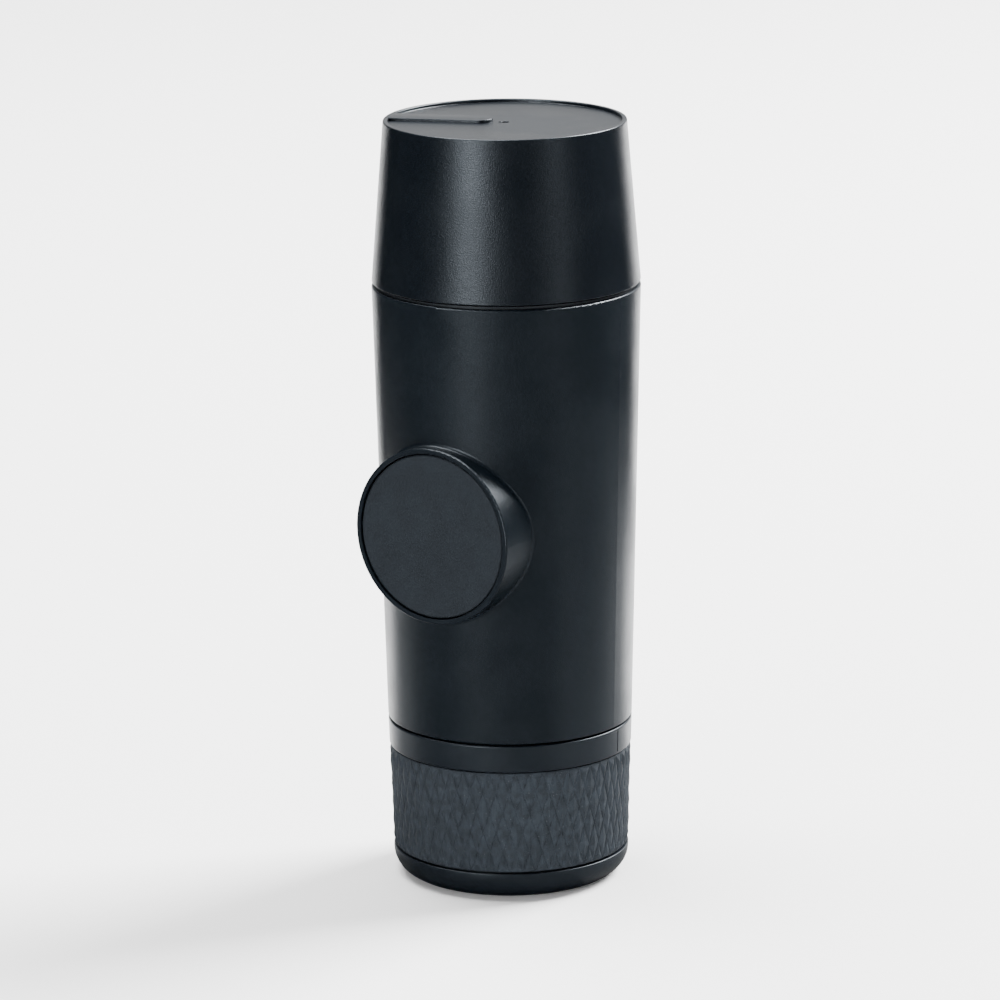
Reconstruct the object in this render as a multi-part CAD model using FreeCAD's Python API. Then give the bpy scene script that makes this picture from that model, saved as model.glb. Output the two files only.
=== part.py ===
import FreeCAD, Part
import math
import os

Vector = FreeCAD.Vector

# A handheld espresso maker, standing on its water tank with the cup upside down on top.
# Z is up, the ground is at 0, the barrel's axis is the Z axis and the pump knob faces -Y.

# Outside of the barrel, from the ground up
base_height = 6.7
sleeve_length = 23.5
ring_height = 6.5
body_length = 99.5
cup_length = 36.6
base_radius = 26.7
body_foot_radius = 27.6
widest_radius = 30.0
rim_radius = 27.0

# Gaps that show between the stacked pieces, and the rounding of their edges
base_gap = 0.45
sleeve_gap = 0.25
body_gap = 0.45
cup_gap = 0.7
edge_round = 0.35

# Clearances, each on one side
seat_gap = 0.05
running_gap = 0.05
seal_gap = 0.03
free_gap = 0.3

# Water tank
foot_round = 5.7
tank_wall = 2.3
tank_floor = 2.6
tank_floor_round = 6.0
neck_length = 9.5
tank_seal_thickness = 1.5
tick_width = 0.35
tick_depth = 0.3
tick_margin = 0.6
tick_angle = 4.0

# Faceted grip sleeve
sleeve_thickness = 1.8
facet_count = 56
facet_levels = 5
facet_relief = 0.35
facet_inset = 0.05

# Body shell
wall = 2.2
plate_thickness = 3.0
plate_ledge_thickness = 2.0
plate_ledge_width = 1.3
head_ledge_thickness = 3.0
head_ledge_width = 2.2
head_ledge_slope = 4.0
post_radius = 2.8
post_height = 12.0
post_angles = (30, 150, 270)
post_rib = 1.6

# Knob boss and the way the knob locks
knob_above_body_foot = 47.7
boss_stand = 2.75
boss_radius = 19.85
boss_rim_width = 1.15
boss_root_round = 0.8
guide_wall = 2.45
guide_floor = 2.2
stroke = 20.0
lock_turn = 40.0
lug_count = 3
lug_width = 7.0
lug_length = 2.5
lug_height = 1.1
stop_rib_width = 2.0
stop_rib_play = 0.6
retaining_ring_length = 3.3

# Knob
pad_thickness = 1.3
pad_round = 0.5
knob_flange = 1.8
skirt_wall = 1.9
skirt_floor_gap = 1.0
knob_hub_radius = 6.5
knob_hub_length = 6.0

# Pump
pump_bore_radius = 8.0
pump_wall = 2.0
pump_mouth_gap = 2.4
pump_flange_radius = 14.6
pump_flange = 2.0
pump_gasket = 1.0
piston_head_length = 8.0
piston_end_gap = 0.6
piston_seal_width = 2.0
piston_seal_height = 1.5
rod_radius = 3.5
pin_radius = 2.5
knob_screw_head_radius = 3.2
knob_screw_head = 1.0
knob_screw_length = 8.0
screw_tip_gap = 1.0

# Valves, one above the other behind the pump
valve_offset = 15.5
valve_plug_wall = 1.0
valve_tower_radius = 6.5
valve_hub_wall = 2.0
valve_chamber_radius = 3.2
valve_passage_radius = 1.5
valve_plug_radius = 3.95
outlet_plug_length = 5.0
valve_seat_web = 1.6
inlet_chamber_below = 6.0
inlet_chamber_above = 2.0
cross_passage_radius = 1.8
ball_radius = 2.2
tube_radius = 2.4
tube_bore_radius = 1.5
tube_seat = 2.5
tube_boss_radius = 4.2
tube_boss = 5.0

# Springs
piston_spring_radius = 12.6
piston_spring_wire = 1.4
piston_spring_turns = 7
valve_spring_radius = 1.8
valve_spring_wire = 0.4
valve_spring_turns = 4
valve_spring_seat = 1.65
least_spring_gap = 0.4

# Inlet screen, air valve and screws on the tank side
screen_radius = 4.9
screen_thickness = 0.8
screen_hole_radius = 0.7
screen_hole_circle = 3.0
screen_holes = 6
air_valve_offset = 13.0
air_stem_radius = 1.5
air_dome_radius = 4.2
air_dome_height = 1.2
air_lip_height = 0.25
air_knob_radius = 2.1
air_knob_height = 4.2
air_hole_radius = 0.6
air_hole_circle = 2.7
air_holes = 4
screw_radius = 1.25
plate_screw_head_radius = 2.3
plate_screw_head = 1.5
plate_screw_length = 12.0
plate_screw_inset = 1.0

# Brew head, which carries the cup's neck
brew_flange_inset = 0.8
brew_neck_round = 0.7
neck_height = 6.55
neck_cup_gap = 0.45
brew_wall = 4.1
brew_floor = 4.0
shower_chamber_depth = 1.6
shower_shelf_width = 5.8
shower_pillar_radius = 3.2
cup_seal_wire = 1.0
cup_seal_height = 3.3

# Shower screen, gasket and basket
shower_lip = 1.1
shower_thickness = 0.6
shower_ring_shares = (0.34, 0.57, 0.8)
shower_ring_counts = (6, 12, 18)
shower_hole_radius = 0.65
shower_screw_head_radius = 2.8
shower_screw_head = 1.4
shower_screw_bite = 3.0
gasket_thickness = 1.8
gasket_width = 3.9
basket_depth = 19.0
basket_drop = 1.0
basket_flange = 0.8
basket_sheet = 0.5
basket_round = 1.0
basket_ring_shares = (0, 0.225, 0.45, 0.675)
basket_ring_counts = (1, 6, 12, 18)
basket_hole_radius = 0.55

# Outlet head
thread_gap = 0.35
skirt_thickness = 2.65
deck_thickness = 3.0
deck_gap = 0.4
grip_height = 6.0
grip_width = 2.2
grip_over_neck = 1.8
grip_notches = 24
grip_notch_radius = 1.1
head_seal_wire = 0.9
head_seal_drop = 3.0
spout_radius = 5.5
spout_height = 3.5
spout_taper = 1.0
nozzle_radius = 3.0
nozzle_flange_radius = 4.2
nozzle_flange = 1.0
nozzle_tip = 3.0
nozzle_taper = 1.0
nozzle_bore_radius = 1.3

# Cup
cup_wall = 1.6
cup_floor = 1.8
cup_recess = 0.95
cup_rim_width = 1.1
cup_inner_round = 3.0
bar_length = 21.8
bar_width = 6.5
bar_angle = 213.0
dimple_radius = 1.1
dimple_depth = 0.3

# Heights that several pieces share
sleeve_bottom = base_height
ring_bottom = sleeve_bottom + sleeve_length
body_bottom = ring_bottom + ring_height
cup_bottom = body_bottom + body_length
total_height = cup_bottom + cup_length
sleeve_low = sleeve_bottom + base_gap / 2
sleeve_high = ring_bottom - sleeve_gap / 2
ring_top = body_bottom - body_gap / 2
body_low = body_bottom + body_gap / 2
body_high = cup_bottom - cup_gap / 2
cup_low = cup_bottom + cup_gap / 2
knob_height = body_bottom + knob_above_body_foot
neck_top = ring_top + neck_length
tank_seal_low = neck_top + seat_gap
plate_low = tank_seal_low + tank_seal_thickness + seat_gap
plate_high = plate_low + plate_thickness

# The barrel's outside radius at a height
def barrel_radius(height):
    stations = (
        (base_height, base_radius),
        (body_bottom, body_foot_radius),
        (cup_bottom, widest_radius),
        (total_height, rim_radius),
    )
    radius = stations[0][1]
    for (low, low_radius), (high, high_radius) in zip(stations, stations[1:]):
        share = min(max((height - low) / (high - low), 0), 1)
        radius += share * (high_radius - low_radius)
    return radius


# Radii that the socket, neck and tank share
socket_radius = body_foot_radius - wall
tank_neck_radius = socket_radius - free_gap
tank_bore_radius = tank_neck_radius - tank_wall
post_circle = tank_bore_radius - plate_screw_head_radius - plate_screw_inset

# The knob's places, measured outward from the barrel's axis
boss_reach = barrel_radius(knob_height) + boss_stand
flange_back = boss_reach - pad_thickness - knob_flange
retaining_outer = flange_back - free_gap
retaining_inner = retaining_outer - retaining_ring_length
lug_outer = retaining_inner - free_gap - stroke
skirt_end = lug_outer - lug_length
lock_shoulder = lug_outer + free_gap
counterbore_end = skirt_end + stroke - free_gap
guide_end = skirt_end - skirt_floor_gap
counterbore_radius = boss_radius - boss_rim_width
guide_radius = boss_radius - guide_wall
lug_radius = guide_radius - free_gap + lug_height
channel_radius = lug_radius + free_gap
skirt_radius = guide_radius - free_gap
skirt_bore_radius = skirt_radius - skirt_wall
flange_radius = counterbore_radius - free_gap

# The pump's places, measured the same way
pump_radius = pump_bore_radius + pump_wall
pump_mouth = flange_back - knob_hub_length - pump_mouth_gap
valve_hub_radius = pump_radius + valve_hub_wall
valve_face = valve_plug_radius + seat_gap + valve_plug_wall - valve_offset
pump_end = valve_face + pump_gasket + 2 * seat_gap
pump_flange_low = guide_end + seat_gap
piston_end = valve_face + piston_end_gap
piston_front = piston_end + piston_head_length
shoulder_end = flange_back - knob_hub_length - seat_gap

# The valves' heights
inlet_plug_high = knob_height - inlet_chamber_below - seat_gap
inlet_plug_low = knob_height - valve_hub_radius
seat_web_low = knob_height + inlet_chamber_above
seat_web_high = seat_web_low + valve_seat_web
ball_rise = math.sqrt(ball_radius ** 2 - valve_passage_radius ** 2)
inlet_ball_height = inlet_plug_high + ball_rise + seat_gap
outlet_ball_height = seat_web_high + ball_rise + seat_gap
valve_spring_length = seat_web_low - inlet_ball_height - valve_spring_seat
outlet_plug_low = outlet_ball_height + valve_spring_seat + valve_spring_length
outlet_plug_high = outlet_plug_low + outlet_plug_length

# The brew group's heights
brew_flange_low = body_high + seat_gap
brew_flange_high = cup_low - 2 * seat_gap
brew_neck_top = brew_flange_high + neck_height
basket_high = brew_neck_top - basket_drop
basket_low = basket_high - basket_depth
gasket_high = basket_low - seat_gap
gasket_low = gasket_high - gasket_thickness
brew_floor_high = gasket_low - seat_gap
brew_floor_low = brew_floor_high - brew_floor
head_ledge_high = body_high - head_ledge_thickness
skirt_low = basket_low + basket_flange + seat_gap
deck_low = brew_neck_top + deck_gap
deck_high = deck_low + deck_thickness
cup_plate_high = total_height - cup_recess
cup_plate_low = cup_plate_high - cup_floor


# The brew group's radii, which follow from the cup's inside
brew_neck_radius = barrel_radius(brew_neck_top) - cup_wall - neck_cup_gap
brew_bore_radius = brew_neck_radius - brew_wall
brew_plug_radius = widest_radius - wall - seat_gap
brew_body_radius = brew_plug_radius - head_ledge_width
skirt_outer_radius = brew_bore_radius - thread_gap
skirt_inner_radius = skirt_outer_radius - skirt_thickness
basket_radius = skirt_inner_radius - free_gap
cup_seal_center = brew_flange_high + cup_seal_height
cup_seal_radius = barrel_radius(cup_seal_center) - cup_wall - seal_gap - cup_seal_wire
head_seal_center = deck_low - head_seal_drop
head_seal_radius = brew_bore_radius - seal_gap - head_seal_wire
shower_chamber_radius = brew_bore_radius - shower_shelf_width
shower_radius = shower_chamber_radius + shower_lip


# A flat face in the XZ plane whose corners are (across, up) or (across, up, rounding)
def outline(corners):
    points = [Vector(corner[0], 0, corner[1]) for corner in corners]
    roundings = [corner[2] if len(corner) > 2 else 0 for corner in corners]
    edges = []
    last = None
    first = None
    for index, point in enumerate(points):
        before = (points[index - 1] - point).normalize()
        after = (points[(index + 1) % len(points)] - point).normalize()
        enter, leave = point, point
        if roundings[index]:
            half_angle = before.getAngle(after) / 2
            reach = roundings[index] / math.tan(half_angle)
            enter = point + before * reach
            leave = point + after * reach
            toward = (before + after).normalize()
            centre = point + toward * (roundings[index] / math.sin(half_angle))
            middle = centre - toward * roundings[index]
        if last is not None and last.distanceToPoint(enter) > 1e-6:
            edges.append(Part.LineSegment(last, enter).toShape())
        if roundings[index]:
            edges.append(Part.Arc(enter, middle, leave).toShape())
        if first is None:
            first = enter
        last = leave
    edges.append(Part.LineSegment(last, first).toShape())
    return Part.Face(Part.Wire(edges))


# A solid turned about the Z axis from such corners
def turned(corners):
    return outline(corners).revolve(Vector(0, 0, 0), Vector(0, 0, 1), 360)


def disc(radius, low, high, x=0, y=0):
    return Part.makeCylinder(radius, high - low, Vector(x, y, low))


def hollow_disc(inner, outer, low, high):
    return disc(outer, low, high).cut(disc(inner, low, high))


def seal_ring(radius, wire, height):
    return Part.makeTorus(radius, wire, Vector(0, 0, height))


# A shape modelled along Z, laid along the knob's axis so that its Z points out of the barrel
def on_knob_axis(shape):
    laid = shape.copy()
    laid.rotate(Vector(0, 0, 0), Vector(1, 0, 0), 90)
    laid.translate(Vector(0, 0, knob_height))
    return laid


def turned_about_z(shape, angle):
    copy = shape.copy()
    copy.rotate(Vector(0, 0, 0), Vector(0, 0, 1), angle)
    return copy


# Upright holes on rings of (radius, count) about a centre
def hole_pattern(rings, radius, low, high, x=0, y=0):
    holes = []
    for ring_radius, count in rings:
        for index in range(count):
            angle = 2 * math.pi * index / count
            across = x + ring_radius * math.cos(angle)
            along = y + ring_radius * math.sin(angle)
            holes.append(disc(radius, low, high, across, along))
    return holes


# A pan-head screw pointing up, with its head's top face at the given height
def screw(head_radius, head_height, length, seat):
    profile = [
        (0, seat - head_height),
        (head_radius, seat - head_height, head_height / 2),
        (head_radius, seat),
        (screw_radius, seat),
        (screw_radius, seat + length),
        (0, seat + length),
    ]
    return turned(profile)


# The arc that leaves one point and meets another, both legs to the shared corner being equal
def tangent_arc(start, corner, end):
    chord_middle = (start + end) * 0.5
    leg = start.distanceToPoint(corner)
    half_turn = (corner - start).getAngle(end - corner) / 2
    radius = leg / math.tan(half_turn)
    toward = (corner - chord_middle).normalize()
    middle = chord_middle + toward * (radius * (1 - math.cos(half_turn)))
    return Part.Arc(start, middle, end).toShape()


# One unbroken coil of wire between two heights, as pairs of arcs that follow each quarter turn
def coil(radius, wire_diameter, turns, low, high, name):
    bottom = low + wire_diameter / 2
    pitch = (high - low - wire_diameter) / turns
    climb = pitch / (2 * math.pi)
    points = []
    tangents = []
    for quarter in range(4 * turns + 1):
        angle = math.pi / 2 * quarter
        points.append(Vector(radius * math.cos(angle), radius * math.sin(angle), bottom + climb * angle))
        tangents.append(Vector(-radius * math.sin(angle), radius * math.cos(angle), climb).normalize())
    edges = []
    for index in range(4 * turns):
        start, end = points[index], points[index + 1]
        leaving, arriving = tangents[index], tangents[index + 1]
        span = end - start
        both = leaving + arriving
        spread = 2 * (1 - leaving.dot(arriving))
        along = span.dot(both)
        leg = (math.sqrt(along ** 2 + spread * span.dot(span)) - along) / spread
        first_corner = start + leaving * leg
        second_corner = end - arriving * leg
        joint = (first_corner + second_corner) * 0.5
        edges.append(tangent_arc(start, first_corner, joint))
        edges.append(tangent_arc(joint, second_corner, end))
    section = Part.Circle(points[0], tangents[0], wire_diameter / 2).toShape()
    report_spring_gap(radius, wire_diameter, climb, turns, name)
    return Part.Wire(edges).makePipeShell([Part.Wire([section])], True, False)


# The least distance from a coil's wire to its next turn, measured on points
def report_spring_gap(radius, wire_diameter, climb, turns, name):
    steps = 72
    points = []
    for step in range(steps * turns + 1):
        angle = 2 * math.pi * step / steps
        points.append(Vector(radius * math.cos(angle), radius * math.sin(angle), climb * angle))
    least = min(
        points[0].distanceToPoint(point) for point in points[steps // 2:]
    ) - wire_diameter
    print(name, "least gap to itself", round(least, 2), "mm, wanted over", least_spring_gap)


# Water tank: rounded foot, recess for the sleeve, ring and threaded neck in one moulding
def make_tank_shell():
    base_top = base_height - base_gap / 2
    ring_low = ring_bottom + sleeve_gap / 2
    recess_low = barrel_radius(base_height) - sleeve_thickness
    recess_high = barrel_radius(ring_bottom) - sleeve_thickness
    shell = turned([
        (0, 0),
        (base_radius, 0, foot_round),
        (base_radius, base_top, edge_round),
        (recess_low, base_top),
        (recess_high, ring_low),
        (barrel_radius(ring_low), ring_low, edge_round),
        (barrel_radius(ring_top), ring_top, edge_round),
        (tank_neck_radius, ring_top),
        (tank_neck_radius, neck_top, edge_round),
        (tank_bore_radius, neck_top, edge_round),
        (tank_bore_radius, tank_floor, tank_floor_round),
        (0, tank_floor),
    ])
    tick = Part.makeBox(
        2 * tick_depth, tick_width, ring_top - ring_low - 2 * tick_margin,
        Vector(barrel_radius(ring_bottom) - tick_depth, -tick_width / 2, ring_low + tick_margin),
    )
    return shell.cut(turned_about_z(tick, tick_angle))


# A corner of the grip's facets: the raised ones are the middles of the diamonds
def facet_corner(column, level):
    height = sleeve_low + (sleeve_high - sleeve_low) * level / facet_levels
    raised = (column + level) % 2 == 1
    radius = barrel_radius(height) - facet_inset - (0 if raised else facet_relief)
    angle = math.pi * column / facet_count
    return Vector(radius * math.cos(angle), radius * math.sin(angle), height)


# Grip sleeve: a soft band whose outside is cut into tall staggered diamonds
def make_tank_sleeve():
    columns = 2 * facet_count
    faces = []
    for level in range(facet_levels):
        for column in range(columns):
            here = facet_corner(column, level)
            beside = facet_corner(column + 1, level)
            above = facet_corner(column, level + 1)
            across = facet_corner(column + 1, level + 1)
            if (column + level) % 2 == 1:
                triangles = ((here, beside, above), (beside, across, above))
            else:
                triangles = ((here, beside, across), (here, across, above))
            for first, second, third in triangles:
                faces.append(Part.Face(Part.makePolygon([first, second, third, first])))
    for level in (0, facet_levels):
        loop = [facet_corner(column, level) for column in range(columns)]
        faces.append(Part.Face(Part.makePolygon(loop + loop[:1])))
    skin = Part.makeShell(faces)
    skin.sewShape()
    solid = Part.Solid(skin)
    if solid.Volume < 0:
        solid.reverse()
    inner_low = barrel_radius(base_height) - sleeve_thickness + seat_gap
    inner_high = barrel_radius(ring_bottom) - sleeve_thickness + seat_gap
    hollow = turned([
        (0, base_height),
        (inner_low, base_height),
        (inner_high, ring_bottom),
        (0, ring_bottom),
    ])
    return solid.cut(hollow)


def make_tank_seal():
    return hollow_disc(
        tank_bore_radius + seat_gap,
        tank_neck_radius - seat_gap,
        tank_seal_low,
        tank_seal_low + tank_seal_thickness,
    )


# Body shell: tapered wall with a socket below, a seat for the brew head above and the knob's boss
def make_body_shell():
    ledge_low = plate_high + seat_gap
    ledge_high = ledge_low + plate_ledge_thickness
    seat_low = head_ledge_high - head_ledge_thickness
    wall_top = seat_low - head_ledge_slope
    plug_radius = brew_plug_radius + seat_gap
    shell = turned([
        (socket_radius, body_low, edge_round),
        (barrel_radius(body_low), body_low, edge_round),
        (barrel_radius(body_high), body_high, edge_round),
        (plug_radius, body_high),
        (plug_radius, head_ledge_high),
        (brew_body_radius + seat_gap, head_ledge_high),
        (brew_body_radius + seat_gap, seat_low),
        (barrel_radius(wall_top) - wall, wall_top),
        (barrel_radius(ledge_high) - wall, ledge_high),
        (socket_radius - plate_ledge_width, ledge_high),
        (socket_radius - plate_ledge_width, ledge_low),
        (socket_radius, ledge_low),
    ])
    for angle in post_angles:
        shell = shell.fuse(turned_about_z(screw_post(ledge_low), angle))
    shell = shell.fuse(on_knob_axis(disc(boss_radius, guide_end - guide_floor, boss_reach)))
    shell = round_boss(shell.removeSplitter())
    return shell.cut(on_knob_axis(knob_hollow())).fuse(stop_ribs())


# A post for a plate screw, with a rib that ties it to the wall
def screw_post(low):
    high = low + post_height
    post = disc(post_radius, low, high, post_circle)
    rib_length = barrel_radius(low) - wall / 2 - post_circle
    rib = Part.makeBox(rib_length, post_rib, post_height, Vector(post_circle, -post_rib / 2, low))
    return post.fuse(rib).cut(disc(screw_radius + seat_gap, low, high - post_rib, post_circle))


# Rounds the boss's front edge and the line where it grows out of the wall
def round_boss(shell):
    front = []
    root = []
    for edge in shell.Edges:
        box = edge.BoundBox
        if box.YMax > -boss_radius / 2:
            continue
        on_front = abs(box.YMin + boss_reach) < 0.01 and abs(box.YMax + boss_reach) < 0.01
        points = edge.discretize(5)
        across = [math.hypot(point.x, point.z - knob_height) for point in points]
        on_boss = all(abs(distance - boss_radius) < 0.01 for distance in across)
        barrel = [math.hypot(point.x, point.y) - barrel_radius(point.z) for point in points]
        on_barrel = all(abs(distance) < 0.01 for distance in barrel)
        if on_front:
            front.append(edge)
        elif on_boss and on_barrel:
            root.append(edge)
    shell = shell.makeFillet(boss_root_round, root)
    return shell.makeFillet(edge_round, matching_edges(shell, front))


# The edges of a changed shape that lie where the given ones lay
def matching_edges(shape, wanted):
    middles = [edge.CenterOfMass for edge in wanted]
    found = []
    for edge in shape.Edges:
        if any(edge.CenterOfMass.distanceToPoint(middle) < 0.01 for middle in middles):
            found.append(edge)
    return found


# Everything cut out of the boss: the knob's seat, its guide, the lug channels and the lock chamber
def knob_hollow():
    hollow = disc(counterbore_radius, counterbore_end, boss_reach)
    hollow = hollow.fuse(disc(guide_radius, guide_end, counterbore_end))
    hollow = hollow.fuse(disc(channel_radius, guide_end, lock_shoulder))
    hollow = hollow.fuse(disc(pump_radius + free_gap, guide_end - guide_floor, guide_end))
    for index in range(lug_count):
        channel = lug(channel_radius, lug_width + 2 * free_gap, guide_end, counterbore_end)
        hollow = hollow.fuse(turned_about_z(channel, 360 * index / lug_count))
    return hollow.removeSplitter()


# A block that stands out of a cylinder up to the given radius
def lug(radius, width, low, high):
    block = Part.makeBox(radius, width, high - low, Vector(0, -width / 2, low))
    return disc(radius, low, high).common(block)


# Two ribs in the lock chamber that stop the knob's turn at either end
def stop_ribs():
    lug_half = math.degrees(math.asin(lug_width / 2 / guide_radius))
    rib_half = math.degrees(math.asin(stop_rib_width / 2 / guide_radius))
    beyond = lug_half + rib_half + stop_rib_play
    ribs = []
    for angle in (-beyond, lock_turn + beyond):
        rib = lug(channel_radius + seat_gap, stop_rib_width, guide_end, lock_shoulder)
        rib = rib.cut(disc(guide_radius, guide_end, lock_shoulder))
        ribs.append(on_knob_axis(turned_about_z(rib, angle)))
    return ribs[0].fuse(ribs[1])


def make_retaining_ring():
    ring = hollow_disc(guide_radius, counterbore_radius - seat_gap, retaining_inner, retaining_outer)
    return on_knob_axis(ring)


# Socket plate: closes the body above the tank and feeds the pump through its screen
def make_socket_plate():
    plate = disc(socket_radius - seat_gap, plate_low, plate_high)
    plate = plate.fuse(disc(tube_boss_radius, plate_high, plate_high + tube_boss, 0, valve_offset))
    holes = [
        disc(tube_bore_radius, plate_low, plate_high + tube_boss, 0, valve_offset),
        disc(tube_radius + seat_gap, plate_high, plate_high + tube_boss, 0, valve_offset),
        disc(screen_radius + seat_gap, plate_low, plate_low + screen_thickness, 0, valve_offset),
        disc(air_stem_radius, plate_low, plate_high, -air_valve_offset),
    ]
    holes += hole_pattern(
        ((air_hole_circle, air_holes),), air_hole_radius, plate_low, plate_high, -air_valve_offset
    )
    for angle in post_angles:
        hole = disc(screw_radius + free_gap, plate_low, plate_high, post_circle)
        holes.append(turned_about_z(hole, angle))
    return plate.cut(Part.makeCompound(holes))


def make_inlet_screen():
    screen = disc(screen_radius, plate_low, plate_low + screen_thickness - seat_gap, 0, valve_offset)
    rings = ((0, 1), (screen_hole_circle, screen_holes))
    holes = hole_pattern(
        rings, screen_hole_radius, plate_low, plate_low + screen_thickness, 0, valve_offset
    )
    return screen.cut(Part.makeCompound(holes))


# Air valve: a soft umbrella under the plate that lets air into the tank as the water leaves
def make_air_valve():
    low = plate_low - seat_gap
    valve = turned([
        (0, low - air_dome_height),
        (air_dome_radius / 2, low - air_dome_height, air_dome_height / 2),
        (air_dome_radius, low - air_lip_height),
        (air_dome_radius, low),
        (air_stem_radius - running_gap, low),
        (air_stem_radius - running_gap, plate_high + seat_gap),
        (air_knob_radius, plate_high + seat_gap),
        (0, plate_high + air_knob_height),
    ])
    valve.translate(Vector(-air_valve_offset, 0, 0))
    return valve


def make_plate_screws():
    one = screw(plate_screw_head_radius, plate_screw_head, plate_screw_length, plate_low - seat_gap)
    one.translate(Vector(post_circle, 0, 0))
    return Part.makeCompound([turned_about_z(one, angle) for angle in post_angles])


# Pump cylinder: seated by its flange on the floor of the knob's guide
def make_pump_cylinder():
    cylinder = turned([
        (pump_bore_radius, pump_end),
        (pump_radius, pump_end, edge_round),
        (pump_radius, pump_flange_low),
        (pump_flange_radius, pump_flange_low),
        (pump_flange_radius, pump_flange_low + pump_flange, edge_round),
        (pump_radius, pump_flange_low + pump_flange),
        (pump_radius, pump_mouth, edge_round),
        (pump_bore_radius, pump_mouth, edge_round),
    ])
    return on_knob_axis(cylinder)


def make_pump_gasket():
    ring = hollow_disc(
        pump_bore_radius + seat_gap, pump_radius, valve_face + seat_gap, pump_end - seat_gap
    )
    return on_knob_axis(ring)


# Valve block: a hub on the pump's inner end and a tower that holds both valves
def make_valve_block():
    hub_high = guide_end - guide_floor - seat_gap
    hub = on_knob_axis(disc(valve_hub_radius, -valve_offset, hub_high))
    tower = disc(valve_tower_radius, inlet_plug_low, outlet_plug_high, 0, valve_offset)
    block = hub.fuse(tower).removeSplitter()
    bores = [
        on_knob_axis(disc(pump_radius + running_gap, valve_face, hub_high)),
        on_knob_axis(disc(cross_passage_radius, -valve_offset, valve_face)),
        upright_bore(valve_plug_radius + seat_gap, inlet_plug_low, inlet_plug_high + seat_gap),
        upright_bore(valve_chamber_radius, inlet_plug_high, seat_web_low),
        upright_bore(valve_passage_radius, seat_web_low, seat_web_high),
        upright_bore(valve_chamber_radius, seat_web_high, outlet_plug_low),
        upright_bore(valve_plug_radius + seat_gap, outlet_plug_low, outlet_plug_high),
    ]
    for bore in bores:
        block = block.cut(bore)
    return block


def upright_bore(radius, low, high):
    return disc(radius, low, high, 0, valve_offset)


# A plug that closes a valve chamber, with the water's passage and a seat for a tube's end
def valve_plug(low, high, tube_low, tube_high):
    plug = upright_bore(valve_plug_radius, low, high)
    plug = plug.cut(upright_bore(valve_passage_radius, low, high))
    return plug.cut(upright_bore(tube_radius + seat_gap, tube_low, tube_high))


def make_inlet_seat():
    return valve_plug(inlet_plug_low, inlet_plug_high, inlet_plug_low, inlet_plug_low + tube_seat)


def make_outlet_plug():
    low = outlet_plug_low + seat_gap
    return valve_plug(low, outlet_plug_high, outlet_plug_high - tube_seat, outlet_plug_high)


def valve_ball(height):
    return Part.makeSphere(ball_radius, Vector(0, valve_offset, height))


def make_inlet_ball():
    return valve_ball(inlet_ball_height)


def make_outlet_ball():
    return valve_ball(outlet_ball_height)


def valve_spring(ball_height, name):
    low = ball_height + valve_spring_seat
    high = low + valve_spring_length
    spring = coil(valve_spring_radius, valve_spring_wire, valve_spring_turns, low, high, name)
    spring.translate(Vector(0, valve_offset, 0))
    return spring


def make_inlet_spring():
    return valve_spring(inlet_ball_height, "inlet_spring")


def make_outlet_spring():
    return valve_spring(outlet_ball_height, "outlet_spring")


def water_tube(low, high):
    return upright_bore(tube_radius, low, high).cut(upright_bore(tube_bore_radius, low, high))


def make_suction_tube():
    return water_tube(plate_high + seat_gap, inlet_plug_low + tube_seat - seat_gap)


def make_delivery_tube():
    return water_tube(outlet_plug_high - tube_seat + seat_gap, brew_floor_low - seat_gap)


# Piston: rod with a shoulder and pin for the knob, and a head grooved for its seal
def make_piston_rod():
    middle = (piston_end + piston_front) / 2
    groove_low = middle - piston_seal_width / 2 - seat_gap
    groove_high = middle + piston_seal_width / 2 + seat_gap
    head_radius = pump_bore_radius - free_gap
    groove_radius = pump_bore_radius - piston_seal_height - seat_gap
    pin_end = boss_reach - pad_thickness - knob_screw_head - 2 * seat_gap
    rod = turned([
        (0, piston_end),
        (head_radius, piston_end, edge_round),
        (head_radius, groove_low),
        (groove_radius, groove_low),
        (groove_radius, groove_high),
        (head_radius, groove_high),
        (head_radius, piston_front, edge_round),
        (rod_radius, piston_front),
        (rod_radius, shoulder_end),
        (pin_radius, shoulder_end),
        (pin_radius, pin_end),
        (0, pin_end),
    ])
    hole_end = pin_end - knob_screw_length - screw_tip_gap
    return on_knob_axis(rod.cut(disc(screw_radius + seat_gap, hole_end, pin_end)))


def make_piston_seal():
    middle = (piston_end + piston_front) / 2
    half = piston_seal_width / 2
    inner = pump_bore_radius - piston_seal_height
    seal = turned([
        (inner, middle - half),
        (pump_bore_radius - seal_gap, middle - half, edge_round),
        (pump_bore_radius - seal_gap, middle + half, edge_round),
        (inner, middle + half),
    ])
    return on_knob_axis(seal)


def make_piston_spring():
    low = pump_flange_low + pump_flange + seat_gap
    high = flange_back - seat_gap
    spring = coil(
        piston_spring_radius, piston_spring_wire, piston_spring_turns, low, high, "piston_spring"
    )
    return on_knob_axis(spring)


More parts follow.
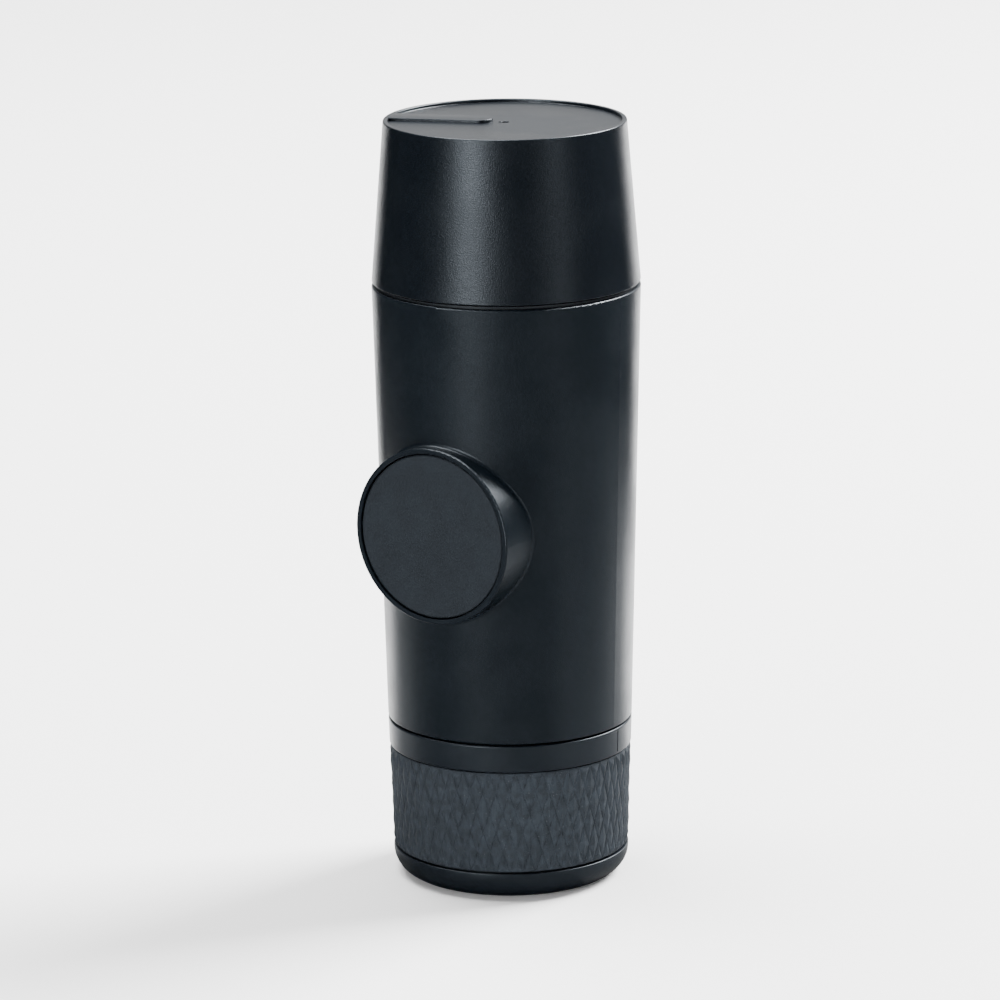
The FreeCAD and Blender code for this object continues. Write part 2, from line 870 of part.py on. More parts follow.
# Knob: a flange with a skirt that slides in the guide, three lugs and a hub on the piston's pin
def make_knob_cap():
    flange_high = boss_reach - pad_thickness - seat_gap
    recess_low = flange_high - knob_screw_head - 2 * seat_gap
    cap = turned([
        (pin_radius + running_gap, shoulder_end + seat_gap),
        (knob_hub_radius, shoulder_end + seat_gap, edge_round),
        (knob_hub_radius, flange_back),
        (skirt_bore_radius, flange_back),
        (skirt_bore_radius, skirt_end, edge_round),
        (skirt_radius, skirt_end, edge_round),
        (skirt_radius, flange_back),
        (flange_radius, flange_back, edge_round),
        (flange_radius, flange_high),
        (knob_screw_head_radius + free_gap, flange_high),
        (knob_screw_head_radius + free_gap, recess_low),
        (pin_radius + running_gap, recess_low),
    ])
    ring = disc((skirt_bore_radius + skirt_radius) / 2, skirt_end, lug_outer)
    for index in range(lug_count):
        block = lug(lug_radius, lug_width, skirt_end, lug_outer).cut(ring)
        cap = cap.fuse(turned_about_z(block, 360 * index / lug_count))
    return on_knob_axis(cap.removeSplitter())


def make_knob_pad():
    pad = turned([
        (0, boss_reach - pad_thickness),
        (flange_radius, boss_reach - pad_thickness),
        (flange_radius, boss_reach, pad_round),
        (0, boss_reach),
    ])
    return on_knob_axis(pad)


def make_knob_screw():
    seat = boss_reach - pad_thickness - knob_screw_head - seat_gap
    head = disc(knob_screw_head_radius, seat, seat + knob_screw_head)
    shank = disc(screw_radius, seat - knob_screw_length, seat)
    return on_knob_axis(head.fuse(shank).removeSplitter())


# Brew head: water chamber below, threaded well for the outlet head, and the neck the cup fits over
def make_brew_head():
    groove_low = cup_seal_center - cup_seal_wire - seat_gap
    groove_high = cup_seal_center + cup_seal_wire + seat_gap
    groove_radius = cup_seal_radius - cup_seal_wire - seat_gap
    flange_radius_out = widest_radius - brew_flange_inset
    chamber_low = brew_floor_high - shower_chamber_depth
    head = turned([
        (0, brew_floor_low),
        (brew_body_radius, brew_floor_low, edge_round),
        (brew_body_radius, head_ledge_high + seat_gap),
        (brew_plug_radius, head_ledge_high + seat_gap),
        (brew_plug_radius, brew_flange_low),
        (flange_radius_out, brew_flange_low),
        (flange_radius_out, brew_flange_high),
        (brew_neck_radius, brew_flange_high),
        (brew_neck_radius, groove_low),
        (groove_radius, groove_low),
        (groove_radius, groove_high),
        (brew_neck_radius, groove_high),
        (brew_neck_radius, brew_neck_top, brew_neck_round),
        (brew_bore_radius, brew_neck_top, edge_round),
        (brew_bore_radius, brew_floor_high),
        (shower_chamber_radius, brew_floor_high),
        (shower_chamber_radius, chamber_low),
        (shower_pillar_radius, chamber_low),
        (shower_pillar_radius, brew_floor_high),
        (0, brew_floor_high),
    ])
    head = head.fuse(upright_bore(tube_boss_radius, brew_floor_low - tube_boss, brew_floor_low))
    hole_low = brew_floor_high - shower_screw_bite - free_gap
    screw_hole = disc(screw_radius + seat_gap, hole_low, brew_floor_high)
    feed = upright_bore(tube_bore_radius, brew_floor_low - tube_boss, chamber_low)
    seat = upright_bore(tube_radius + seat_gap, brew_floor_low - tube_boss, brew_floor_low)
    return head.cut(screw_hole).cut(feed).cut(seat)


def make_cup_seal():
    return seal_ring(cup_seal_radius, cup_seal_wire, cup_seal_center)


def make_shower_screen():
    low = brew_floor_high + seat_gap
    high = low + shower_thickness
    screen = disc(shower_radius, low, high)
    radii = [share * shower_chamber_radius for share in shower_ring_shares]
    holes = hole_pattern(zip(radii, shower_ring_counts), shower_hole_radius, low, high)
    holes.append(disc(screw_radius + free_gap, low, high))
    return screen.cut(Part.makeCompound(holes))


def make_shower_screw():
    seat = brew_floor_high + shower_thickness + 2 * seat_gap
    length = seat - brew_floor_high + shower_screw_bite
    one = screw(shower_screw_head_radius, shower_screw_head, length, 0)
    one.rotate(Vector(0, 0, 0), Vector(1, 0, 0), 180)
    one.translate(Vector(0, 0, seat))
    return one


def make_group_gasket():
    outer = brew_bore_radius - free_gap
    return hollow_disc(outer - gasket_width, outer, gasket_low, gasket_high)


# Filter basket: thin metal cup with its mouth down on the gasket and its holes on top
def make_filter_basket():
    flange = brew_bore_radius - 2 * free_gap
    basket = turned([
        (basket_radius - basket_sheet, basket_low),
        (flange, basket_low),
        (flange, basket_low + basket_flange),
        (basket_radius, basket_low + basket_flange),
        (basket_radius, basket_high, basket_round),
        (0, basket_high),
        (0, basket_high - basket_sheet),
        (basket_radius - basket_sheet, basket_high - basket_sheet, basket_sheet),
    ])
    radii = [share * basket_radius for share in basket_ring_shares]
    holes = hole_pattern(zip(radii, basket_ring_counts), basket_hole_radius, basket_high - basket_round, basket_high)
    return basket.cut(Part.makeCompound(holes))


# Outlet head: threaded skirt that clamps the basket, notched grip and a spout in a dished top
def make_outlet_head():
    grip_radius = skirt_outer_radius + thread_gap + grip_over_neck
    grip_high = deck_low + grip_height
    groove_low = head_seal_center - head_seal_wire - seat_gap
    groove_high = head_seal_center + head_seal_wire + seat_gap
    groove_radius = head_seal_radius - head_seal_wire - seat_gap
    head = turned([
        (skirt_inner_radius, skirt_low),
        (skirt_outer_radius, skirt_low, edge_round),
        (skirt_outer_radius, groove_low),
        (groove_radius, groove_low),
        (groove_radius, groove_high),
        (skirt_outer_radius, groove_high),
        (skirt_outer_radius, deck_low),
        (grip_radius, deck_low, edge_round),
        (grip_radius, grip_high, edge_round),
        (grip_radius - grip_width, grip_high, edge_round),
        (grip_radius - grip_width, deck_high, edge_round),
        (spout_radius, deck_high),
        (spout_radius - spout_taper, deck_high + spout_height, edge_round),
        (0, deck_high + spout_height),
        (0, deck_low),
        (skirt_inner_radius, deck_low),
    ])
    notch = disc(grip_notch_radius, deck_low, grip_high, grip_radius + grip_notch_radius / 2)
    notches = [turned_about_z(notch, 360 * index / grip_notches) for index in range(grip_notches)]
    head = head.cut(Part.makeCompound(notches))
    return head.cut(disc(nozzle_radius + seat_gap, deck_low, deck_high + spout_height))


def make_head_seal():
    return seal_ring(head_seal_radius, head_seal_wire, head_seal_center)


# Nozzle: a soft insert whose flange seats under the deck and whose tip stands out of the spout
def make_outlet_nozzle():
    tip_high = deck_high + spout_height + nozzle_tip
    flange_low = deck_low - nozzle_flange - seat_gap
    return turned([
        (nozzle_bore_radius, flange_low),
        (nozzle_flange_radius, flange_low),
        (nozzle_flange_radius, deck_low - seat_gap),
        (nozzle_radius, deck_low - seat_gap),
        (nozzle_radius, deck_high + spout_height),
        (nozzle_radius - nozzle_taper, tip_high, edge_round),
        (nozzle_bore_radius, tip_high),
    ])


# Cup: tapered wall, a plate sunk inside a thin rim, and a plain raised bar across it
def make_cup():
    rim_inner = rim_radius - cup_rim_width
    cup = turned([
        (0, cup_plate_low),
        (barrel_radius(cup_plate_low) - cup_wall, cup_plate_low, cup_inner_round),
        (barrel_radius(cup_low) - cup_wall, cup_low, edge_round),
        (barrel_radius(cup_low), cup_low, edge_round),
        (rim_radius, total_height, edge_round),
        (rim_inner, total_height, edge_round),
        (rim_inner, cup_plate_high, edge_round),
        (0, cup_plate_high),
    ])
    dimple = disc(dimple_radius, cup_plate_high - dimple_depth, cup_plate_high)
    return cup.fuse(raised_bar(rim_inner)).cut(dimple)


# The bar's outer end runs into the rim and its inner end is round
def raised_bar(rim_inner):
    reach = rim_inner + cup_rim_width / 2
    inner_end = rim_inner - bar_length + bar_width / 2
    straight = Part.makeBox(
        reach - inner_end, bar_width, cup_floor / 2 + cup_recess,
        Vector(inner_end, -bar_width / 2, total_height - cup_recess - cup_floor / 2),
    )
    low = cup_plate_high - cup_floor / 2
    bar = straight.fuse(disc(bar_width / 2, low, total_height, inner_end))
    bar = bar.common(disc(reach, low, total_height)).removeSplitter()
    return turned_about_z(bar, bar_angle)


nodes = {
    "tank_shell": make_tank_shell,
    "tank_sleeve": make_tank_sleeve,
    "tank_seal": make_tank_seal,
    "body_shell": make_body_shell,
    "retaining_ring": make_retaining_ring,
    "socket_plate": make_socket_plate,
    "inlet_screen": make_inlet_screen,
    "air_valve": make_air_valve,
    "plate_screws": make_plate_screws,
    "pump_cylinder": make_pump_cylinder,
    "pump_gasket": make_pump_gasket,
    "valve_block": make_valve_block,
    "inlet_seat": make_inlet_seat,
    "inlet_ball": make_inlet_ball,
    "inlet_spring": make_inlet_spring,
    "outlet_plug": make_outlet_plug,
    "outlet_ball": make_outlet_ball,
    "outlet_spring": make_outlet_spring,
    "suction_tube": make_suction_tube,
    "delivery_tube": make_delivery_tube,
    "piston_rod": make_piston_rod,
    "piston_seal": make_piston_seal,
    "piston_spring": make_piston_spring,
    "knob_cap": make_knob_cap,
    "knob_pad": make_knob_pad,
    "knob_screw": make_knob_screw,
    "brew_head": make_brew_head,
    "cup_seal": make_cup_seal,
    "shower_screen": make_shower_screen,
    "shower_screw": make_shower_screw,
    "group_gasket": make_group_gasket,
    "filter_basket": make_filter_basket,
    "outlet_head": make_outlet_head,
    "head_seal": make_head_seal,
    "outlet_nozzle": make_outlet_nozzle,
    "cup": make_cup,
}

os.makedirs("parts", exist_ok=True)
for name, make in nodes.items():
    shape = make()
    shape.exportStep("parts/" + name + ".step")
    print(name, "valid" if shape.isValid() else "NOT VALID", len(shape.Solids), round(shape.Volume, 1))
print("height", total_height, "widest", 2 * widest_radius, "knob centre at", knob_height)
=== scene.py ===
import bpy
import math
import random
from mathutils import Matrix, Vector


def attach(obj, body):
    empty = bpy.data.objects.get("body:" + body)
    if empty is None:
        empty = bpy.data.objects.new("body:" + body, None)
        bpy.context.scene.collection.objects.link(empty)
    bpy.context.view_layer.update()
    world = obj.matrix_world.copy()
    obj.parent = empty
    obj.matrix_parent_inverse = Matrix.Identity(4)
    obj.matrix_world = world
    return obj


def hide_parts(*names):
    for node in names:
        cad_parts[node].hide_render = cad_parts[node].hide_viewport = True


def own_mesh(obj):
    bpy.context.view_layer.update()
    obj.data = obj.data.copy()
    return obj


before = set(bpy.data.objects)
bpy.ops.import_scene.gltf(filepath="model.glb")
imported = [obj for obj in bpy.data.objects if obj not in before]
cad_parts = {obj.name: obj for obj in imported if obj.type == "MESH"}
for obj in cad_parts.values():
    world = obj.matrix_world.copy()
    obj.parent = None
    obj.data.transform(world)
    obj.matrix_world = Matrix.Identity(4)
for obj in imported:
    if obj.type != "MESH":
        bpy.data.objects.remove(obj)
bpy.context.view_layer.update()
mm = 0.001  # sizes are in millimetres and become metres where they meet Blender
print("frame loaded with", len(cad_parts), "nodes")


# Helpers for modelling and for finishes

def deselectAll():
    if bpy.context.object and bpy.context.object.mode != "OBJECT":
        bpy.ops.object.mode_set(mode="OBJECT")
    bpy.ops.object.select_all(action="DESELECT")


def selectOnly(*pieces):
    deselectAll()
    for piece in pieces:
        piece.select_set(True)
    bpy.context.view_layer.objects.active = pieces[0]


def editAll(piece):
    selectOnly(piece)
    bpy.ops.object.mode_set(mode="EDIT")
    bpy.ops.mesh.select_all(action="SELECT")


def closeUp(piece):  # merges doubles and turns the faces outwards
    editAll(piece)
    bpy.ops.mesh.remove_doubles(threshold=0.002 * mm)
    bpy.ops.mesh.normals_make_consistent(inside=False)
    bpy.ops.object.mode_set(mode="OBJECT")


def smoothen(piece, angle=32):
    selectOnly(piece)
    bpy.ops.object.shade_smooth_by_angle(angle=math.radians(angle))


def selectWhere(piece, kind, wanted):  # kind is vertices, edges or polygons; wanted gets one of them
    editAll(piece)
    bpy.ops.mesh.select_mode(type={"vertices": "VERT", "edges": "EDGE", "polygons": "FACE"}[kind])
    bpy.ops.mesh.select_all(action="DESELECT")
    bpy.ops.object.mode_set(mode="OBJECT")
    for item in getattr(piece.data, kind):
        item.select = wanted(item)
    bpy.ops.object.mode_set(mode="EDIT")


def edgeEnds(piece, edge):
    return [piece.data.vertices[index].co for index in edge.vertices]


def roundedPath(corners, arcStep=15):  # corners are (across, up) or (across, up, rounding)
    path = []
    for index, corner in enumerate(corners):
        here = Vector(corner[:2])
        rounding = corner[2] if len(corner) > 2 else 0
        if not rounding:
            path.append(here)
            continue
        before = (Vector(corners[index - 1][:2]) - here).normalized()
        after = (Vector(corners[(index + 1) % len(corners)][:2]) - here).normalized()
        halfAngle = before.angle(after) / 2
        reach = rounding / math.tan(halfAngle)
        centre = here + (before + after).normalized() * rounding / math.sin(halfAngle)
        spoke = here + before * reach - centre
        turn = math.pi - 2 * halfAngle
        side = 1 if before.x * after.y - before.y * after.x < 0 else -1
        steps = max(2, math.ceil(math.degrees(turn) / arcStep))
        hold = min(rounding * 0.15, 0.1)  # a loop beside the rounding holds the flat face's shading
        path.append(here + before * (reach + hold))
        for step in range(steps + 1):
            path.append(centre + Matrix.Rotation(side * turn * step / steps, 2) @ spoke)
        path.append(here + after * (reach + hold))
    return path


def drawProfile(name, path, closed):  # a line of edges in the XZ plane, left in edit mode
    deselectAll()
    bpy.ops.mesh.primitive_plane_add(size=mm)
    piece = bpy.context.object
    piece.name = name
    bpy.ops.object.mode_set(mode="EDIT")
    bpy.ops.mesh.select_mode(type="VERT")
    bpy.ops.mesh.select_all(action="SELECT")
    bpy.ops.mesh.merge(type="CENTER")
    bpy.ops.transform.translate(value=(path[0].x * mm, 0, path[0].y * mm))
    for before, after in zip(path, path[1:] + path[:1] if closed else path[1:]):
        stride = (after - before) * mm
        bpy.ops.mesh.extrude_vertices_move(TRANSFORM_OT_translate={"value": (stride.x, 0, stride.y)})
    bpy.ops.mesh.select_all(action="SELECT")
    bpy.ops.mesh.remove_doubles(threshold=0.002 * mm)
    return piece


def lathe(name, corners, steps=144, arcStep=15):  # a profile turned about Z
    path = roundedPath(corners, arcStep)
    piece = drawProfile(name, path, path[0].x > 0)
    bpy.ops.mesh.spin(steps=steps, angle=2 * math.pi, center=(0, 0, 0), axis=(0, 0, 1))
    closeUp(piece)
    return piece


def applyPlace(piece):
    selectOnly(piece)
    bpy.ops.object.transform_apply(location=True, rotation=True, scale=True)


def turnAboutZ(piece, degrees):
    piece.rotation_euler = (0, 0, math.radians(degrees))
    applyPlace(piece)


def layOnKnobAxis(piece):  # what was modelled along Z points out of the barrel towards -Y
    piece.rotation_euler = (math.pi / 2, 0, 0)
    piece.location = (0, 0, barrel["knobHeight"] * mm)
    applyPlace(piece)


def copyOf(piece):
    twin = piece.copy()
    twin.data = piece.data.copy()
    bpy.context.scene.collection.objects.link(twin)
    return twin


def joined(pieces):
    selectOnly(*pieces)
    if len(pieces) > 1:
        bpy.ops.object.join()
    return pieces[0]


def applyModifier(piece, kind, **settings):
    selectOnly(piece)
    bpy.ops.object.modifier_add(type=kind)
    modifier = piece.modifiers[-1]
    for key, value in settings.items():
        setattr(modifier, key, value)
    bpy.ops.object.modifier_apply(modifier=modifier.name)


def boolean(piece, tool, operation="DIFFERENCE"):
    applyModifier(piece, "BOOLEAN", object=tool, operation=operation, solver="EXACT")
    bpy.data.objects.remove(tool)
    return piece


def block(name, size, middle):  # a box whose size and middle are in millimetres
    deselectAll()
    bpy.ops.mesh.primitive_cube_add(size=1)
    piece = bpy.context.object
    piece.name = name
    piece.scale = Vector(size) * mm
    piece.location = Vector(middle) * mm
    applyPlace(piece)
    return piece


def rod(name, radius, low, high, across=0, along=0, sides=24):
    deselectAll()
    bpy.ops.mesh.primitive_cylinder_add(
        vertices=sides, radius=radius * mm, depth=(high - low) * mm,
        location=(across * mm, along * mm, (low + high) / 2 * mm),
    )
    piece = bpy.context.object
    piece.name = name
    applyPlace(piece)
    return piece


def fit(piece, body, slot, material, *nodes):  # where a finished piece belongs
    piece.data.materials.clear()
    piece.data.materials.append(material)
    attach(piece, body)
    if nodes:
        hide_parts(*nodes)
    print(piece.name, "has", len(piece.data.polygons), "faces")
    return piece


def mathNode(group, operation, first, second=None):
    node = group.nodes.new("ShaderNodeMath")
    node.operation = operation
    for socket, value in zip(node.inputs, (first, second)):
        if isinstance(value, (int, float)):
            socket.default_value = value
        elif value is not None:
            group.links.new(value, socket)
    return node.outputs[0]


def rangeNode(group, value, low, high, toLow=0.0, toHigh=1.0):
    node = group.nodes.new("ShaderNodeMapRange")
    node.interpolation_type = "SMOOTHSTEP"
    group.links.new(value, node.inputs["Value"])
    for title, number in (("From Min", low), ("From Max", high), ("To Min", toLow), ("To Max", toHigh)):
        node.inputs[title].default_value = number
    return node.outputs["Result"]


# The barrel that all the pieces share

barrel = {
    "stations": ((6.7, 26.7), (36.7, 27.6), (136.2, 30.0), (172.8, 27.0)),  # height, radius
    "knobHeight": 84.4,
}


def barrelRadius(height):
    stations = barrel["stations"]
    radius = stations[0][1]
    for (low, lowRadius), (high, highRadius) in zip(stations, stations[1:]):
        radius += min(max((height - low) / (high - low), 0), 1) * (highRadius - lowRadius)
    return radius


# Camera, floor and lamps

camera = {
    "lens": 192.95,
    "turn": 32.93,  # degrees round the object from -Y towards +X
    "rise": 13.916,
    "roll": -0.538,
    "distance": 1203.7,
    "aside": -1.845,
    "aimHeight": 86.095,
}


def makeCamera():
    turn, rise = math.radians(camera["turn"]), math.radians(camera["rise"])
    bpy.ops.object.camera_add()
    eye = bpy.context.object
    eye.name = "photoCamera"
    eye.data.lens = camera["lens"]
    eye.data.sensor_width = 36
    eye.data.clip_start = 0.05
    eye.data.clip_end = 50
    back = camera["distance"] * math.cos(rise)
    up = camera["aimHeight"] + camera["distance"] * math.sin(rise)
    swing = Matrix.Rotation(turn, 4, "Z")
    eye.location = swing @ Vector((camera["aside"], -back, up)) * mm
    tilt = Matrix.Rotation(math.pi / 2 - rise, 4, "X")
    roll = Matrix.Rotation(math.radians(camera["roll"]), 4, "Z")
    eye.rotation_euler = (swing @ tilt @ roll).to_euler()
    bpy.context.scene.camera = eye


lamps = {  # turn is measured from the camera to the right; distances and sizes are in metres
    "rightBackPanel": {"turn": 122, "rise": 44, "distance": 2.4, "size": (1.1, 1.4), "watts": 285},
    "leftStrip": {"turn": -32, "rise": 10, "distance": 2.3, "size": (0.6, 0.85), "watts": 34},
    "rightStrip": {"turn": 46, "rise": 10, "distance": 2.3, "size": (0.5, 0.85), "watts": 5},
    "topPanel": {"turn": -120, "rise": 72, "distance": 2.2, "size": (1.4, 1.4), "watts": 106},
}


def makeLamps():
    for name, lamp in lamps.items():
        turn, rise = math.radians(camera["turn"] + lamp["turn"]), math.radians(lamp["rise"])
        toward = Vector((math.sin(turn) * math.cos(rise), -math.cos(turn) * math.cos(rise), math.sin(rise)))
        place = toward * lamp["distance"] + Vector((0, 0, camera["aimHeight"] * mm))
        bpy.ops.object.light_add(type="AREA", location=place)
        panel = bpy.context.object
        panel.name = name
        panel.rotation_euler = toward.to_track_quat("Z", "Y").to_euler()
        panel.data.shape = "RECTANGLE"
        panel.data.size, panel.data.size_y = lamp["size"]
        panel.data.energy = lamp["watts"]


studio = {
    "shown": 0.9, "lighting": 0.41,
    "floorWhite": 0.955, "floorSize": 14.0, "floorRough": 0.8, "floorSpecular": 0.1,
    # only the camera sees this glow, which stands in for the lamps far from the object
    "nearGlow": 0.024, "farGlow": 0.49, "glowFrom": 1.0, "glowTo": 5.4,
}


def makeWorld():
    world = bpy.data.worlds.new("studio")
    bpy.context.scene.world = world
    world.use_nodes = True
    nodes, links = world.node_tree.nodes, world.node_tree.links
    nodes.clear()
    lighting = nodes.new("ShaderNodeBackground")
    lighting.inputs["Color"].default_value = (1, 1, 1, 1)
    lighting.inputs["Strength"].default_value = studio["lighting"]
    shown = nodes.new("ShaderNodeBackground")
    shown.inputs["Color"].default_value = (1, 1, 1, 1)
    shown.inputs["Strength"].default_value = studio["shown"]
    path = nodes.new("ShaderNodeLightPath")
    seen = path.outputs["Is Camera Ray"]
    for ray in ("Is Glossy Ray", "Is Transmission Ray"):
        seen = mathNode(world.node_tree, "MAXIMUM", seen, path.outputs[ray])
    mix = nodes.new("ShaderNodeMixShader")
    links.new(seen, mix.inputs[0])
    links.new(lighting.outputs[0], mix.inputs[1])
    links.new(shown.outputs[0], mix.inputs[2])
    links.new(mix.outputs[0], nodes.new("ShaderNodeOutputWorld").inputs["Surface"])


def makeFloor():
    deselectAll()
    bpy.ops.mesh.primitive_plane_add(size=studio["floorSize"])
    floor = bpy.context.object
    floor.name = "floor"
    paper = bpy.data.materials.new("floorPaper")
    paper.use_nodes = True
    tree = paper.node_tree
    shader = tree.nodes["Principled BSDF"]
    shader.inputs["Base Color"].default_value = (studio["floorWhite"],) * 3 + (1,)
    shader.inputs["Roughness"].default_value = studio["floorRough"]
    shader.inputs["Specular IOR Level"].default_value = studio["floorSpecular"]
    shader.inputs["Emission Color"].default_value = (1, 1, 1, 1)
    sees = tree.nodes.new("ShaderNodeLightPath").outputs["Is Camera Ray"]
    reach = tree.nodes.new("ShaderNodeVectorMath")
    reach.operation = "LENGTH"
    place = tree.nodes.new("ShaderNodeTexCoord")
    tree.links.new(place.outputs["Object"], reach.inputs[0])
    limits = [studio[title] for title in ("glowFrom", "glowTo", "nearGlow", "farGlow")]
    fade = rangeNode(tree, reach.outputs["Value"], *limits)
    glow = mathNode(tree, "MULTIPLY", sees, fade)
    tree.links.new(glow, shader.inputs["Emission Strength"])
    floor.data.materials.append(paper)


cards = {  # black and grey cards that only reflections see; turns are measured as the lamps' are
    "tent": {"from": -158, "to": 150, "outer": 4.5, "colour": 0.006},
    "nearFront": {"from": -72, "to": 42, "inner": 0.0, "outer": 0.3, "colour": 0.035},
    "nearLeft": {"from": -96, "to": -72, "inner": 0.0, "outer": 0.3, "colour": 0.07},
    "leftEdge": {"from": -132, "to": -96, "inner": 0.0, "outer": 0.3, "colour": 0.2},
    "nearRight": {"from": 42, "to": 98, "inner": 0.0, "outer": 0.3, "colour": 0.13},
    "rightEdge": {"from": 98, "to": 128, "inner": 0.0, "outer": 0.3, "colour": 0.24},
    "farTable": {"from": -152, "to": 147, "inner": 0.3, "outer": 4.4, "colour": 0.006},
}


def makeCard(name, shape):
    card = cards[name]
    matt = bpy.data.materials.new(name + "Matt")
    matt.use_nodes = True
    shader = matt.node_tree.nodes["Principled BSDF"]
    shader.inputs["Base Color"].default_value = (card["colour"],) * 3 + (1,)
    shader.inputs["Specular IOR Level"].default_value = 0
    shape.name = name
    shape.data.materials.append(matt)
    selectWhere(shape, "polygons", lambda face: not covers(card, face.center))
    bpy.ops.mesh.delete(type="FACE")
    bpy.ops.object.mode_set(mode="OBJECT")
    shape.visible_camera = False
    shape.visible_diffuse = False
    shape.visible_transmission = False
    shape.visible_shadow = False


def covers(card, point):
    turn = math.degrees(math.atan2(point.x, -point.y)) - camera["turn"]
    turn = (turn + 180) % 360 - 180
    far = math.hypot(point.x, point.y) > card.get("inner", 0) * 0.999
    return card["from"] < turn < card["to"] and far and point.z > -0.01


def makeCards():
    deselectAll()
    bpy.ops.mesh.primitive_uv_sphere_add(segments=72, ring_count=36, radius=cards["tent"]["outer"])
    makeCard("tent", bpy.context.object)
    for name, card in cards.items():
        if "inner" not in card:
            continue
        deselectAll()
        bpy.ops.mesh.primitive_circle_add(
            vertices=120, radius=card["outer"], fill_type="NGON", location=(0, 0, 0.5 * mm),
        )
        ring = bpy.context.object
        applyPlace(ring)
        editAll(ring)
        bpy.ops.mesh.inset(thickness=(card["outer"] - card["inner"]) * 0.9999)
        bpy.ops.object.mode_set(mode="OBJECT")
        makeCard(name, ring)


makeCamera()
makeLamps()
makeWorld()
makeFloor()
makeCards()
print("camera, lamps and floor are in place")


# Effects that several finishes share

def newEffect(name, inputs, outputs):
    group = bpy.data.node_groups.new(name, "ShaderNodeTree")
    for title, value in inputs.items():
        socket = group.interface.new_socket(title, in_out="INPUT", socket_type="NodeSocketFloat")
        socket.default_value = value
    for title in outputs:
        group.interface.new_socket(title, in_out="OUTPUT", socket_type="NodeSocketFloat")
    start = group.nodes.new("NodeGroupInput")
    end = group.nodes.new("NodeGroupOutput")
    return group, start, end


def makeMouldGrain():  # the fine pitted skin that a sparked mould leaves, with soft smudges over it
    group, start, end = newEffect("mouldGrain", {"Grain Size": 0.2, "Smudge Size": 14}, ("Height", "Smudge"))
    place = group.nodes.new("ShaderNodeTexCoord")
    for title, detail, output in (("Grain Size", 2, "Height"), ("Smudge Size", 3, "Smudge")):
        noise = group.nodes.new("ShaderNodeTexNoise")
        noise.inputs["Detail"].default_value = detail
        group.links.new(place.outputs["Object"], noise.inputs["Vector"])
        group.links.new(mathNode(group, "DIVIDE", 1000, start.outputs[title]), noise.inputs["Scale"])
        group.links.new(rangeNode(group, noise.outputs["Fac"], 0.3, 0.7), end.inputs[output])
    return group


def makeFlecks():  # scattered bright specks
    group, start, end = newEffect("flecks", {"Spacing": 1.0, "Share": 0.3, "Fleck Size": 0.12}, ("Mask",))
    place = group.nodes.new("ShaderNodeTexCoord")
    cells = group.nodes.new("ShaderNodeTexVoronoi")
    group.links.new(place.outputs["Object"], cells.inputs["Vector"])
    group.links.new(mathNode(group, "DIVIDE", 1000, start.outputs["Spacing"]), cells.inputs["Scale"])
    split = group.nodes.new("ShaderNodeSeparateColor")
    group.links.new(cells.outputs["Color"], split.inputs["Color"])
    near = mathNode(group, "LESS_THAN", cells.outputs["Distance"], start.outputs["Fleck Size"])
    chosen = mathNode(group, "LESS_THAN", split.outputs["Red"], start.outputs["Share"])
    group.links.new(mathNode(group, "MULTIPLY", near, chosen), end.inputs["Mask"])
    return group


mouldGrain = makeMouldGrain()
flecks = makeFlecks()


# Finishes

paintedCoolLampTint = (0.82, 0.91, 1.0)  # painted light: reflections on the plastics and the rubber are tinted a little blue, standing in for cool lamp light
finishes = {
    "bodyPlastic": {
        "colour": (0.0026, 0.0046, 0.007), "tint": 1.25, "rough": (0.3, 0.37), "specular": 0.42,
        "grain": 0.18, "grainDepth": 0.009, "smudge": 16,
        "paintedLampTint": paintedCoolLampTint,
    },
    "cupPlastic": {
        "colour": (0.0022, 0.0036, 0.0056), "tint": 1.2, "rough": (0.28, 0.35), "specular": 0.45,
        "grain": 0.24, "grainDepth": 0.016, "smudge": 20,
        "paintedLampTint": paintedCoolLampTint,
    },
    "tankPlastic": {
        "colour": (0.004, 0.006, 0.0088), "tint": 1.2, "rough": (0.32, 0.4), "specular": 0.42,
        "grain": 0.16, "grainDepth": 0.008, "smudge": 12,
        "paintedLampTint": paintedCoolLampTint,
    },
    "gripRubber": {
        "colour": (0.0114, 0.0146, 0.0188), "tint": 1.55, "rough": (0.62, 0.74), "specular": 0.3,
        "grain": 0.35, "grainDepth": 0.05, "smudge": 1.6, "flecks": (0.6, 0.3, 0.11, (0.075, 0.082, 0.092)),
        "paintedLampTint": paintedCoolLampTint,
    },
    "knobPlastic": {
        "colour": (0.0038, 0.0058, 0.0084), "tint": 1.2, "rough": (0.32, 0.4), "specular": 0.42,
        "grain": 0.16, "grainDepth": 0.008, "smudge": 10,
        "paintedLampTint": paintedCoolLampTint,
    },
    "padSoftTouch": {
        "colour": (0.0076, 0.0102, 0.0136), "tint": 1.12, "rough": (0.56, 0.68), "specular": 0.3,
        "grain": 0.18, "grainDepth": 0.02, "smudge": 5,
        "paintedLampTint": paintedCoolLampTint,
    },
    "innerPlastic": {
        "colour": (0.0085, 0.0098, 0.0118), "tint": 1.3, "rough": (0.38, 0.5), "specular": 0.36,
        "grain": 0.2, "grainDepth": 0.006, "smudge": 10,
        "paintedLampTint": paintedCoolLampTint,
    },
    "headPlastic": {
        "colour": (0.0085, 0.0102, 0.0128), "tint": 1.2, "rough": (0.34, 0.44), "specular": 0.42,
        "grain": 0.18, "grainDepth": 0.006, "smudge": 12,
        "paintedLampTint": paintedCoolLampTint,
    },
    "sealRubber": {
        "colour": (0.045, 0.046, 0.05), "tint": 1.2, "rough": (0.5, 0.62), "specular": 0.4,
        "grain": 0.12, "grainDepth": 0.004, "smudge": 6,
    },
    "steel": {
        "colour": (0.6, 0.595, 0.585), "tint": 0.88, "rough": (0.2, 0.34), "specular": 0.5, "metal": 1.0,
        "grain": 0.1, "grainDepth": 0.0015, "smudge": 5,
    },
}


